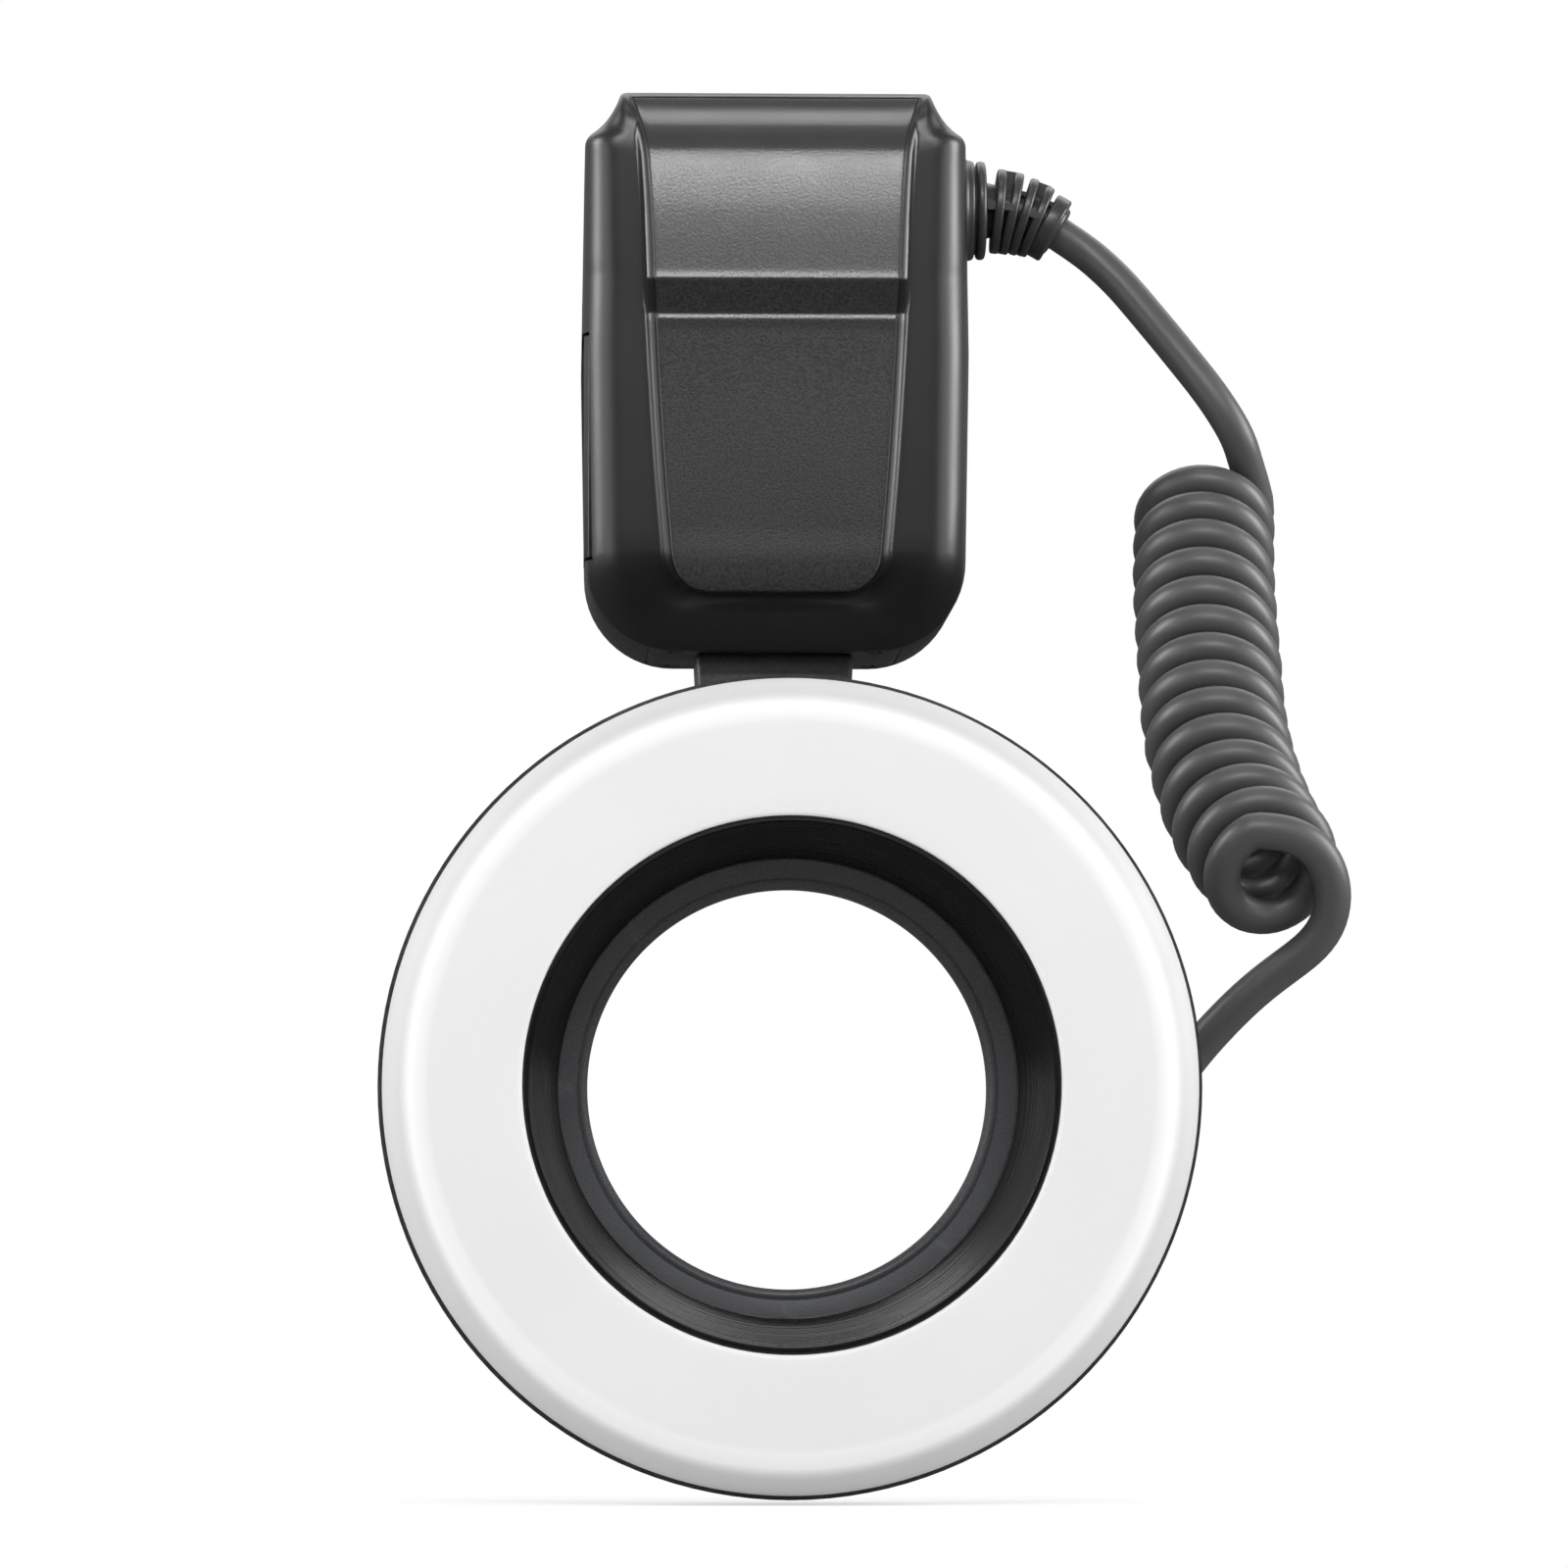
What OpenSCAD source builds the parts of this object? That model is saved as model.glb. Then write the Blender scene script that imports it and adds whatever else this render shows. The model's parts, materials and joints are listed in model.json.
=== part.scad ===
// Macro ring flash: a control unit on a hot-shoe foot, a curly cord, and a ring head that clips
// to an adapter ring in the lens filter thread.
// Millimetres, +Z up, the light goes toward -Y, origin under the middle of the shoe foot.

/* [Layout] */
// Height of the shoe foot above the lens axis
shoe_above_lens = 57; // [50:1:70]
// Distance from the shoe foot forward to the adapter's shoulder
lens_reach = 84; // [70:1:110]
// Gap between pieces that move
fit = 0.3; // [0.2:0.05:0.5]
// Gap between pieces that are fixed to each other
seat = 0.15; // [0.05:0.05:0.3]
// Radial gap of a pin that runs in a hole
run = 0.08; // [0.03:0.01:0.1]

/* [Ring head] */
// Outside diameter of the black rim
ring_d = 131; // [126:1:140]
// Depth from the rear face to the front of the diffuser
ring_depth = 27; // [26:0.5:32]
// Height of the diffuser's seam above the rear face
seam_h = 17.5; // [16:0.5:19]
// Diameter of the front opening
opening_d = 85; // [82:0.5:88]
// Diameter of the opening at the back of the bezel
throat_d = 73.6; // [70:0.1:76]
// Wall of the ring housing and of the diffuser
ring_wall = 2; // [1.6:0.1:2.4]
// Radius of the diffuser's rounded shoulder
shoulder_r = 7; // [5:0.5:8]
// How far the housing steps in behind the rim
rim_step = 4; // [3:0.5:5]

/* [Flash tubes and lamps] */
// Diameter of a flash tube
tube_d = 4.6; // [4:0.1:5.2]
// Angle that each flash tube covers
tube_arc = 150; // [130:1:152]
// Width of a modelling lamp
lamp_w = 3.2; // [2.4:0.1:4]

/* [Adapter ring] */
// Outside diameter of the filter thread
thread_d = 67; // [58:1:72]
// Length of the filter thread
thread_len = 3.5; // [2.5:0.1:5]
// Wall of the threaded spigot
thread_wall = 1.3; // [1:0.1:2]
// Outside diameter of the flange
flange_d = 82; // [80:0.5:84]
// Thickness of the flange
flange_t = 3; // [2.8:0.1:3.2]
// Depth of the groove that the claws hold
groove = 1.4; // [1.2:0.1:1.6]

/* [Release claws] */
// Travel of a release button
claw_travel = 2.5; // [2:0.1:2.8]
// Width of a claw
claw_w = 9; // [7:0.5:10]
// Thickness of a claw plate
plate_t = 1; // [0.8:0.1:1.1]
// Width of a release button
pad_w = 19; // [17:0.5:20]

/* [Control unit] */
// Width of the housing
unit_w = 66.3; // [64:0.1:70]
// Height of the housing
unit_h = 95.5; // [94:0.5:104]
// Depth of the housing behind its shoulders
unit_d = 50; // [49:0.5:56]
// Height of the housing's base above the underside of the foot
base_z = 19.5; // [18:0.5:22]
// Wall of the housing
wall = 2; // [1.6:0.1:2.2]
// Radius of the lower corners
corner_r = 15.5; // [12:0.5:17]
// Width of the raised column at the top
column_w = 52; // [48:0.5:54]
// Radius of the coves beside the column
cove_r = 12.2; // [11:0.2:14]
// Width of the front panel at its foot
panel_low_w = 35.8; // [32:0.2:38]
// Width of the front panel at its top
panel_top_w = 43.6; // [40:0.2:46]
// Height of the panel's step above its foot
panel_step = 52.3; // [46:0.5:56]
// How far the upper panel stands forward
panel_proud = 4.2; // [3:0.1:5]
// Thickness of the front panel
panel_t = 1.2; // [1:0.1:1.3]

/* [Battery] */
// Room kept beyond the pack for its contacts
contact_room = 5.3; // [5:0.1:7]
// Height of the pack
bat_h = 38; // [36:0.5:39]
// Thickness of the pack
bat_t = 20; // [18:0.5:20.5]

/* [Screen and keys] */
// Width of the screen window
lcd_w = 46; // [42:0.5:48]
// Height of the screen window
lcd_h = 36; // [32:0.5:38]
// Width of a function key
key_w = 9; // [7:0.2:9.6]
// Height of a function key
key_h = 4.4; // [3.6:0.2:5]
// Travel of a key
key_travel = 0.6; // [0.4:0.1:0.7]
// Diameter of the dial
dial_d = 26.4; // [24:0.2:28]
// Diameter of the button inside the dial
set_d = 12.6; // [11:0.2:13]
// Travel of the power switch
switch_travel = 5; // [4:0.5:6]

/* [Shoe foot] */
// Width of the foot plate
foot_w = 18.5; // [18.3:0.1:18.6]
// Length of the foot plate
foot_l = 17.8; // [17:0.1:18.2]
// Thickness of the foot plate
foot_t = 2; // [1.9:0.05:2.1]
// Diameter of the stem between the shoe's rails
stem_d = 12.2; // [11.8:0.1:12.4]
// Width of the block under the housing
block_w = 27; // [25:0.5:30]
// Travel of the lock pin
pin_travel = 1.6; // [1.2:0.1:1.8]

/* [Cord] */
// Diameter of the cord
cord_d = 6; // [5.6:0.1:6.2]
// Radius of the coil's middle line
coil_r = 9.3; // [8.8:0.1:9.6]
// Diameter of the collar where the cord leaves the housing
collar_d = 17.2; // [16:0.2:18]
// Radius of the bend in the upper boot
boot_bend = 22.6; // [20:0.2:26]

/* [Hidden] */
$fn = 64;

shell_grey = [0.17, 0.17, 0.18];
panel_grey = [0.21, 0.21, 0.22];
black = [0.06, 0.06, 0.065];
cord_grey = [0.24, 0.24, 0.25];
milk = [0.92, 0.92, 0.93];
adapter_grey = [0.22, 0.23, 0.24];
steel = [0.72, 0.72, 0.74];
board_green = [0.05, 0.25, 0.14];

// ring head, measured as radius and height above the rear face
ring_r = ring_d / 2;
body_r = ring_r - rim_step;
open_r = opening_d / 2;
throat_r = throat_d / 2;
flange_r = flange_d / 2;
recess_r = flange_r + fit;
floor_h = flange_t + fit;
floor_top = floor_h + 1.6;
bezel_top = ring_depth - 0.5;
bezel_in = open_r - 1.1;
bezel_out = open_r - 0.1;
dome_r = ring_r - 0.5;
ref_in = open_r + 6;
ref_out = body_r - 3.4;
ref_h = 10.2;
ref_floor = ref_h + 0.8;
tube_r = (ref_in + ref_out) / 2;
tube_h = ref_floor + 1.9 + tube_d / 2;

// claw plates: the right button's plate lies behind the left button's plate
bezel_foot = 3.7;
plate_in = max(recess_r + 2.7, throat_r + bezel_foot + claw_travel + 1);
plate_out = plate_in + 3.5;
right_plate_h = floor_top + 0.4;
left_plate_h = right_plate_h + plate_t + fit;
claw_x = recess_r + 2.1;
claw_t = plate_in + 2 - claw_x;
claw_h = 1;
tip_x = flange_r - groove + 0.5;
tip_t = 1.1;
post_x = plate_out + claw_travel + 0.9;
boss_r = 2.2;
screw_r = plate_out + claw_travel + 0.5 + boss_r;
pad_x = body_r + 0.7;
pad_h = [3.6, 9.8];
rail_z = 7;
rail_w = 2.5;

// where the cord meets the ring head, from the lens axis: x, height, distance behind
gland = [ring_r - 11.5, -12, -6.5];
gland_dir = [6, 9, -2.5];
ring_boot_l = norm(gland_dir);

// control unit
hw = unit_w / 2;
hw_low = hw - 0.6;
hw_top = hw - 0.55;
unit_front = -24;
unit_rear = unit_front + unit_d;
top_z = base_z + unit_h;
column_hw = column_w / 2;
cove_at = [column_hw + sqrt(cove_r * cove_r - 2.7 * 2.7), top_z + 2.7];
lip_r = wall + 0.5;
lip_at = [
  hw_top - lip_r,
  cove_at[1] - sqrt(pow(cove_r + lip_r, 2) - pow(cove_at[0] - hw_top + lip_r, 2))
];
lip_turn = atan2(cove_at[1] - lip_at[1], cove_at[0] - lip_at[0]);
panel_z = base_z + 9.6;
panel_r = 6.6;
panel_top_z = top_z - 2.6;
step_z = panel_z + panel_step;
rear_in = unit_rear - wall;
base_hw = hw - 11.55;
base_screw_x = base_hw - 3.7;
base_screw_y = [-13, 14.5];

bat_x = -hw + 0.45;
bat_l = unit_w - contact_room;
bat_y = unit_front + wall + 2.7;
bat_z = base_z + 15.8;
cage_t = 1.2;
cage_top = bat_z + bat_h + fit + cage_t;
split_y = bat_y + bat_t + 3.3;
latch_y = bat_y + bat_t / 2;
latch_z = cage_top + 1;
cap_r = 10.5;
cap_l = unit_w - 21.5;

board_y = split_y + 5;
board_t = 1.6;
board_rear = board_y + board_t;
switch_y = board_rear + 4.8;
lcd_z = base_z + 68.5;
key_z = base_z + 41.5;
rear_in_depth = unit_rear - board_rear - 5.4;
key_x = [for (k = [-1.5 : 1 : 1.5]) 0.181 * unit_w * k];
dial_z = base_z + 20;
side_x = hw - 11.25;
mode_pos = [-side_x, base_z + 27];
lamp_pos = [-side_x, base_z + 14];
test_pos = [side_x, base_z + 27];
power_pos = [side_x, base_z + 10];
post_pos = [[-hw + 6.55, dial_z], [hw - 6.55, dial_z], [key_x[1] - 6, key_z + 5.6], [key_x[2] + 6, key_z + 5.6]];
cover_y = [split_y + 2.9, split_y + 15.7];
cover_z = [base_z + 16, base_z + 53.4];
cover_t = 1.25;
usb_z = base_z + 44;
port_in = hw - 10.5;
jack_z = base_z + 34.5;

collar_r = collar_d / 2;
collar_z = top_z - 17.3;
collar_x = hw - 0.15;
boot_x = collar_x + 3.8;
boot_turn = 33;
boot_tip = [boot_x + boot_bend * sin(boot_turn), 0, collar_z - boot_bend * (1 - cos(boot_turn))];
boot_dir = [cos(boot_turn), 0, -sin(boot_turn)];

// the coil's axis runs down and toward the lens; its far end is by the control unit
coil_axis = [
  [74.5, -4, 46], [73, -19.5, 31.5], [72.5, -35, 16.5],
  [72.5, -50, 2], [75, -66, -12], [80, -83, -23.5]
];
coil_turns = 14;
lead_tilt = 0.33;
curl_rings = 8;
curl_sides = 6;
coil_lean = [[0, -0.74, -0.67], [0.16, -0.9, -0.4]];
upper_route = [
  [58.4, -2.3, 85.2], [63.8, -5.5, 78.1], [69, -8.8, 71], [74.1, -11.2, 64], [78.5, -11.3, 57.4]
];
lower_route = [
  [66.4, -74, -50.6], [70, -75, -46.8], [74.6, -76, -41.8], [79.8, -77, -37.6], [84.9, -78, -33.9]
];

function unit(v) = v / norm(v);
function arc(c, r, a0, a1, n = 8) =
  [for (k = [0 : n]) c + r * [cos(a0 + (a1 - a0) * k / n), sin(a0 + (a1 - a0) * k / n)]];
function both(p) = concat(p, [for (k = [len(p) - 1 : -1 : 0]) [-p[k][0], p[k][1]]]);
function rounded(x0, y0, x1, y1, r, i) = concat(
  arc([x0 + r[0], y0 + r[0]], r[0] - i, 180, 270),
  arc([x1 - r[1], y0 + r[1]], r[1] - i, 270, 360),
  arc([x1 - r[2], y1 - r[2]], r[2] - i, 0, 90),
  arc([x0 + r[3], y1 - r[3]], r[3] - i, 90, 180)
);

// a smooth curve through route points, u from 0 to 1
function route_point(p, u) =
  let (
    n = len(p) - 1,
    k = min(floor(u * n), n - 1),
    f = u * n - k,
    b = p[k],
    c = p[k + 1],
    a = k > 0 ? p[k - 1] : 2 * b - c,
    d = k < n - 1 ? p[k + 2] : 2 * c - b
  )
  0.5 * (2 * b + (c - a) * f + (2 * a - 5 * b + 4 * c - d) * f * f
    + (3 * b - a - 3 * c + d) * f * f * f);

// the coil's middle line: axis point, loop normal, radius and the two directions in the loop
function ease(x) = let (w = min(max(x, 0), 1)) w * w * (3 - 2 * w);
function coil_normal(u) =
  unit(coil_lean[0] * (1 - ease((u - 0.45) / 0.55)) + coil_lean[1] * ease((u - 0.45) / 0.55));
function coil_radius(turn) =
  coil_r + 0.2 * pow(max(1 - turn / 0.6, 0), 2) - 0.2 * min(max(turn - 11, 0), 3);
function coil_side(u) =
  let (m = coil_normal(u)) unit([1, 0, 0] - m[0] * m);
function coil_down(u) = cross(coil_side(u), coil_normal(u));
function coil_place(turn) = max(turn, 0) / coil_turns;
function coil_point(turn) =
  let (u = coil_place(turn), a = 360 * turn)
  route_point(coil_axis, u)
    + coil_radius(turn) * (cos(a) * coil_side(u) + sin(a) * coil_down(u));
function coil_along(turn) =
  let (u = coil_place(turn), a = 360 * turn)
  unit(cos(a) * coil_down(u) - sin(a) * coil_side(u) + 0.12 * coil_normal(u));
coil_steps = [for (k = [0 : coil_turns * curl_rings]) k / curl_rings];
coil_curls = [for (t = coil_steps) coil_point(t)];
lead_dir = unit(coil_along(0) + [lead_tilt, 0, 0]);
coil_start = coil_curls[0] - cord_d * lead_dir;
coil_end = coil_curls[len(coil_curls) - 1] + cord_d * coil_along(coil_turns);
coil_line = concat([coil_start], coil_curls, [coil_end]);
coil_refs = concat(
  [coil_normal(0)],
  [for (t = coil_steps) coil_normal(coil_place(t))],
  [coil_normal(1)]
);

function at_lens_point(p) = [p[0], -lens_reach - p[2], p[1] - shoe_above_lens];
function at_lens_dir(v) = unit([v[0], -v[2], v[1]]);
ring_boot_tip = at_lens_point(gland + gland_dir);
ring_boot_out = at_lens_dir(gland_dir);

function tail(p, n) = [for (k = [0 : n]) route_point(p, k / n)];
upper_line = concat(
  [boot_tip],
  tail(concat(
    [boot_tip + cord_d * boot_dir], upper_route, [coil_start - 2 * lead_dir]
  ), 18),
  [coil_start]
);
lower_line = concat(
  [ring_boot_tip],
  tail(concat(
    [ring_boot_tip + cord_d * ring_boot_out], lower_route, [coil_end + 2 * coil_along(coil_turns)]
  ), 18),
  [coil_end]
);

// the least gap from one curl to another, on points four to a stretch
coil_dense = [for (k = [0 : len(coil_curls) - 2]) for (f = [0 : 0.25 : 0.75])
  coil_curls[k] * (1 - f) + coil_curls[k + 1] * f];
coil_gap = min([for (k = [0 : len(coil_dense) - 1])
  for (m = [k + 2 * curl_rings : 1 : min(k + 6 * curl_rings, len(coil_dense) - 1)])
    norm(coil_dense[k] - coil_dense[m])]) - cord_d;
function length_of(p) = len(p) < 2 ? 0 : [for (k = 1, s = norm(p[1] - p[0]); k < len(p);
  k = k + 1, s = s + (k < len(p) ? norm(p[k] - p[k - 1]) : 0)) s][len(p) - 2];
echo(coil_gap = coil_gap);
echo(cord_length = length_of(upper_line) + length_of(coil_line) + length_of(lower_line));

module at_lens() {
  translate([0, -lens_reach, -shoe_above_lens])
    rotate([90, 0, 0])
      children();
}

module along(v) {
  rotate([0, acos(v[2] / norm(v)), atan2(v[1], v[0])])
    children();
}

// a round tube swept along a line, with one side of each ring turned toward its reference
module tube(line, refs, d, sides) {
  n = len(line);
  rings = [for (k = [0 : n - 1])
    let (
      t = unit(line[min(k + 1, n - 1)] - line[max(k - 1, 0)]),
      b = unit(cross(t, refs[min(k, len(refs) - 1)])),
      a = cross(b, t)
    )
    for (s = [0 : sides - 1])
      line[k] + d / 2 * (cos(360 * s / sides) * a + sin(360 * s / sides) * b)];
  walls = [for (k = [0 : n - 2]) for (s = [0 : sides - 1]) for (half = [0, 1])
    let (
      p = k * sides + s,
      q = k * sides + (s + 1) % sides
    )
    half == 0 ? [p, q, q + sides] : [p, q + sides, p + sides]];
  ends = concat(
    [for (s = [1 : sides - 2]) [0, s + 1, s]],
    [for (s = [1 : sides - 2]) (n - 1) * sides * [1, 1, 1] + [0, s, s + 1]]
  );
  polyhedron(points = rings, faces = [for (f = concat(walls, ends)) [f[0], f[2], f[1]]]);
}

// control unit housing

function cove(i) = concat(
  arc(lip_at, lip_r - i, 0, lip_turn, 3),
  arc(cove_at, cove_r + i, 180 + lip_turn, 180 + asin((2.7 + i) / (cove_r + i)), 6)
);
function unit_half(i) = concat(
  arc([hw_low - corner_r, base_z + corner_r], corner_r - i, -90, 0),
  [[hw - i, base_z + 0.53 * unit_h]],
  cove(i)
);
function side_outline(i) = rounded(unit_front, base_z, unit_rear, top_z, [9, 6, 6, 8], i);
function plan_outline(i) = rounded(-hw, unit_front, hw, unit_rear, [7, 7, 6, 6], i);
function panel_half(g) = concat(
  arc([panel_low_w / 2 - panel_r, panel_z + panel_r], panel_r + g, -90, 0),
  [
    [(panel_low_w + panel_top_w) / 4 + g, panel_z + 33],
    [panel_top_w / 2 + g, top_z - 15],
    [panel_top_w / 2 + 0.7 + g, top_z - 8],
    [panel_top_w / 2 + 2.4 + g, panel_top_z]
  ]
);
function panel_side(d) = [
  [unit_front - panel_proud + d, step_z],
  [unit_front - 0.7 + d, step_z - 5.4],
  [unit_front - 0.2 + d, panel_z + 4],
  [unit_front + 1.5 + d, panel_z - 1.5],
  [unit_front + 8, panel_z - 3],
  [unit_front + 8, top_z],
  [unit_front + 5, top_z],
  [unit_front + 1.5 + d, top_z - 0.8],
  [unit_front - 0.3 + d, top_z - 4],
  [unit_front - 0.6 + d, top_z - 9],
  [unit_front - 1.4 + d, top_z - 13]
];

module across(points) {
  translate([0, 60, 0])
    rotate([90, 0, 0])
      linear_extrude(120)
        polygon(points);
}

module sideways(points) {
  translate([-60, 0, 0])
    rotate([90, 0, 90])
      linear_extrude(120)
        polygon(points);
}

module housing(i) {
  intersection() {
    across(both(unit_half(i)));
    sideways(side_outline(i));
    linear_extrude(top_z + 10)
      polygon(plan_outline(i));
  }
}

module column() {
  intersection() {
    across(both(concat(panel_half(1.8), [[column_hw, top_z]])));
    sideways(panel_side(0.5));
  }
}

module slab(x0, y0, z0, x1, y1, z1) {
  translate([x0, y0, z0])
    cube([x1 - x0, y1 - y0, z1 - z0]);
}

// cuts that the two halves of the housing share
module housing_cuts() {
  housing(wall);
  slab(-hw - 2, bat_y - 0.5, bat_z - 0.5, -hw + 4, bat_y + bat_t + 0.5, bat_z + bat_h + 0.5);
  slab(-hw - 2, latch_y - 4 - fit, latch_z - fit, -hw + 4, latch_y + 4 + fit, latch_z + 6.6);
  slab(-base_hw - seat, -16 - seat, base_z - 1, base_hw + seat, 18 + seat, base_z + 1.2);
  slab(-14, -12, base_z - 1, 14, 12, base_z + 5);
  translate([collar_x - 5, 0, collar_z])
    rotate([0, 90, 0])
      cylinder(r = collar_r - 2.4, h = 10);
}

module base_posts(y) {
  for (x = [-base_screw_x, base_screw_x])
    translate([x, y, base_z + 1.3])
      cylinder(r = 3, h = 8);
}

module base_holes(y) {
  for (x = [-base_screw_x, base_screw_x])
    translate([x, y, base_z])
      cylinder(r = 0.95, h = 8);
}

module front_shell() {
  color(shell_grey)
    intersection() {
      slab(-60, -60, 0, 60, split_y, top_z + 10);
      difference() {
        union() {
          difference() {
            union() {
              housing(0);
              column();
            }
            housing_cuts();
          }
          base_posts(base_screw_y[0]);
          slab(-panel_low_w / 2, unit_front + wall - 0.5, panel_z - 3,
            panel_low_w / 2, unit_front + wall + 1, panel_z + 4.2);
        }
        base_holes(base_screw_y[0]);
        difference() {
          intersection() {
            across(both(panel_half(seat)));
            slab(-60, -50, 0, 60, unit_front + 7, panel_top_z);
          }
          sideways(panel_side(panel_t + 0.1));
        }
      }
    }
}

module front_panel() {
  color(panel_grey)
    difference() {
      intersection() {
        across(both(panel_half(0)));
        sideways(panel_side(0));
        slab(-60, -50, 0, 60, unit_front + 6, panel_top_z - seat);
      }
      sideways(panel_side(panel_t));
    }
}

module key_hole(x, z, w, h) {
  slab(x - w / 2 - fit, rear_in - 1, z - h / 2 - fit, x + w / 2 + fit, unit_rear + 1, z + h / 2 + fit);
}

module round_hole(x, z, r) {
  translate([x, unit_rear + 1, z])
    rotate([90, 0, 0])
      cylinder(r = r, h = wall + 2);
}

module rear_shell() {
  color(shell_grey)
    intersection() {
      slab(-60, split_y, 0, 60, 60, top_z + 10);
      difference() {
        union() {
          difference() {
            housing(0);
            housing_cuts();
            slab(-lcd_w / 2 + 1.5, rear_in - 1, lcd_z - lcd_h / 2 + 1.5,
              lcd_w / 2 - 1.5, unit_rear + 1, lcd_z + lcd_h / 2 - 1.5);
            slab(-lcd_w / 2 - seat, unit_rear - 1.2, lcd_z - lcd_h / 2 - seat,
              lcd_w / 2 + seat, unit_rear + 1, lcd_z + lcd_h / 2 + seat);
            for (x = key_x)
              key_hole(x, key_z, key_w, key_h);
            round_hole(mode_pos[0], mode_pos[1], 3.6 + fit);
            round_hole(lamp_pos[0], lamp_pos[1], 3.6 + fit);
            round_hole(test_pos[0], test_pos[1], 4.2 + fit);
            round_hole(0, dial_z, set_d / 2 + 2.7 + fit);
            slab(power_pos[0] - 1.3 - fit, rear_in - 1, power_pos[1] - 2 - fit,
              power_pos[0] + 1.3 + fit, unit_rear + 1, power_pos[1] + 2 + switch_travel + fit);
            slab(hw - cover_t - 0.2, cover_y[0] - fit, cover_z[0] - fit,
              hw + 2, cover_y[1] + fit, cover_z[1] + fit);
            slab(hw - 4, board_rear - 0.2, usb_z - 4.7, hw + 2, board_rear + 3.6, usb_z + 4.7);
            translate([hw - 4, board_rear + 3, jack_z])
              rotate([0, 90, 0])
                cylinder(r = 3.1, h = 6);
          }
          base_posts(base_screw_y[1]);
          for (p = post_pos)
            translate([p[0], rear_in + 0.5, p[1]])
              rotate([90, 0, 0])
                cylinder(r = 1.8, h = rear_in + 0.5 - board_rear);
        }
        base_holes(base_screw_y[1]);
      }
    }
}

module base_plate() {
  color(black)
    difference() {
      intersection() {
        housing(0);
        slab(-base_hw, -16, base_z, base_hw, 18, base_z + 1.1);
      }
      for (x = [-base_hw + 4, base_hw - 4])
        slab(x - 2.2, -15.4, base_z - 1, x + 2.2, -14.6, base_z + 2);
      for (x = [-base_screw_x, base_screw_x], y = base_screw_y)
        translate([x, y, base_z - 1])
          cylinder(r = 1.1, h = 4);
    }
}

module cross_screw(head_r, head_h, shank_r, shank_l) {
  difference() {
    translate([0, 0, -head_h])
      cylinder(r = head_r, h = head_h);
    for (a = [0, 90])
      rotate([0, 0, a])
        translate([-0.75 * head_r, -0.25, -head_h - 0.1])
          cube([1.5 * head_r, 0.5, 0.6]);
  }
  cylinder(r = shank_r, h = shank_l);
}

module base_screws() {
  color(steel)
    for (x = [-base_screw_x, base_screw_x], y = base_screw_y)
      translate([x, y, base_z])
        cross_screw(2, 0.9, 0.85, 7);
}

// foot

module foot_block() {
  color(black)
    translate([0, 12, 0])
      rotate([90, 0, 0])
        linear_extrude(24)
          polygon(both([[block_w / 2 - 1, 6.5], [block_w / 2 - 0.6, 8], [block_w / 2, base_z]]));
}

contact_pos = [[0, 0], [-3.2, 3.4], [3.2, 3.4], [-3.2, -2.8], [3.2, -2.8]];
lock_pos = [0, -7.4];

module shoe_foot() {
  color(steel)
    difference() {
      union() {
        slab(-foot_w / 2, -foot_l / 2, 0, foot_w / 2, foot_l / 2, foot_t);
        cylinder(d = stem_d, h = 6.5);
      }
      for (p = contact_pos)
        translate([p[0], p[1], -1])
          cylinder(r = 0.8 + fit, h = 3.9);
      translate([lock_pos[0], lock_pos[1], -1])
        cylinder(r = 1 + run, h = foot_t + 2);
    }
}

module lock_lever() {
  color(black)
    difference() {
      union() {
        translate([0, 0, 4.3])
          cylinder(r = 11.5, h = 1.9);
        slab(-5, 9, 4.3, 5, 20.5, 6.2);
        slab(-5, 18.3, 4.3, 5, 20.5, 9.5);
      }
      translate([0, 0, 3])
        cylinder(r = stem_d / 2 + fit, h = 5);
    }
}

module lock_pin() {
  color(steel)
    translate([lock_pos[0], lock_pos[1], -pin_travel])
      cylinder(r = 1, h = foot_t + 0.3 + pin_travel);
}

module shoe_contacts() {
  color([0.8, 0.66, 0.35])
    for (p = contact_pos)
      translate([p[0], p[1], -0.6])
        cylinder(r = 0.8, h = 2.4);
}

// battery

module battery_cage() {
  color(black)
    intersection() {
      housing(wall + 0.1);
      battery_box();
    }
}

module battery_box() {
  difference() {
    slab(-hw + wall + 0.6, bat_y - fit - cage_t, bat_z - fit - cage_t,
      bat_x + bat_l + 2.2, bat_y + bat_t + fit + cage_t, cage_top);
    slab(-hw, bat_y - fit, bat_z - fit,
      bat_x + bat_l + 1.3, bat_y + bat_t + fit, bat_z + bat_h + fit);
  }
  for (x = [-18, 18])
    slab(x - 4, unit_front + wall, bat_z + 10, x + 4, bat_y - fit - 0.5, bat_z + 28);
}

module battery_contacts() {
  color([0.8, 0.66, 0.35])
    for (k = [-1, 0, 1])
      slab(bat_x + bat_l + fit, bat_y + bat_t / 2 - 4, bat_z + bat_h / 2 + 9 * k - 2.5,
        bat_x + bat_l + 1.3, bat_y + bat_t / 2 + 4, bat_z + bat_h / 2 + 9 * k + 2.5);
}

module battery_pack() {
  color(shell_grey)
    difference() {
      slab(bat_x, bat_y, bat_z, bat_x + bat_l, bat_y + bat_t, bat_z + bat_h);
      slab(bat_x - 1, bat_y + 3, bat_z + bat_h / 2 - 9, bat_x + 0.8, bat_y + 5.5, bat_z + bat_h / 2 + 9);
      for (k = [-1, 0, 1])
        slab(bat_x + bat_l - 0.6, bat_y + bat_t / 2 - 5, bat_z + bat_h / 2 + 9 * k - 3,
          bat_x + bat_l + 1, bat_y + bat_t / 2 + 5, bat_z + bat_h / 2 + 9 * k + 3);
    }
}

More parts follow.
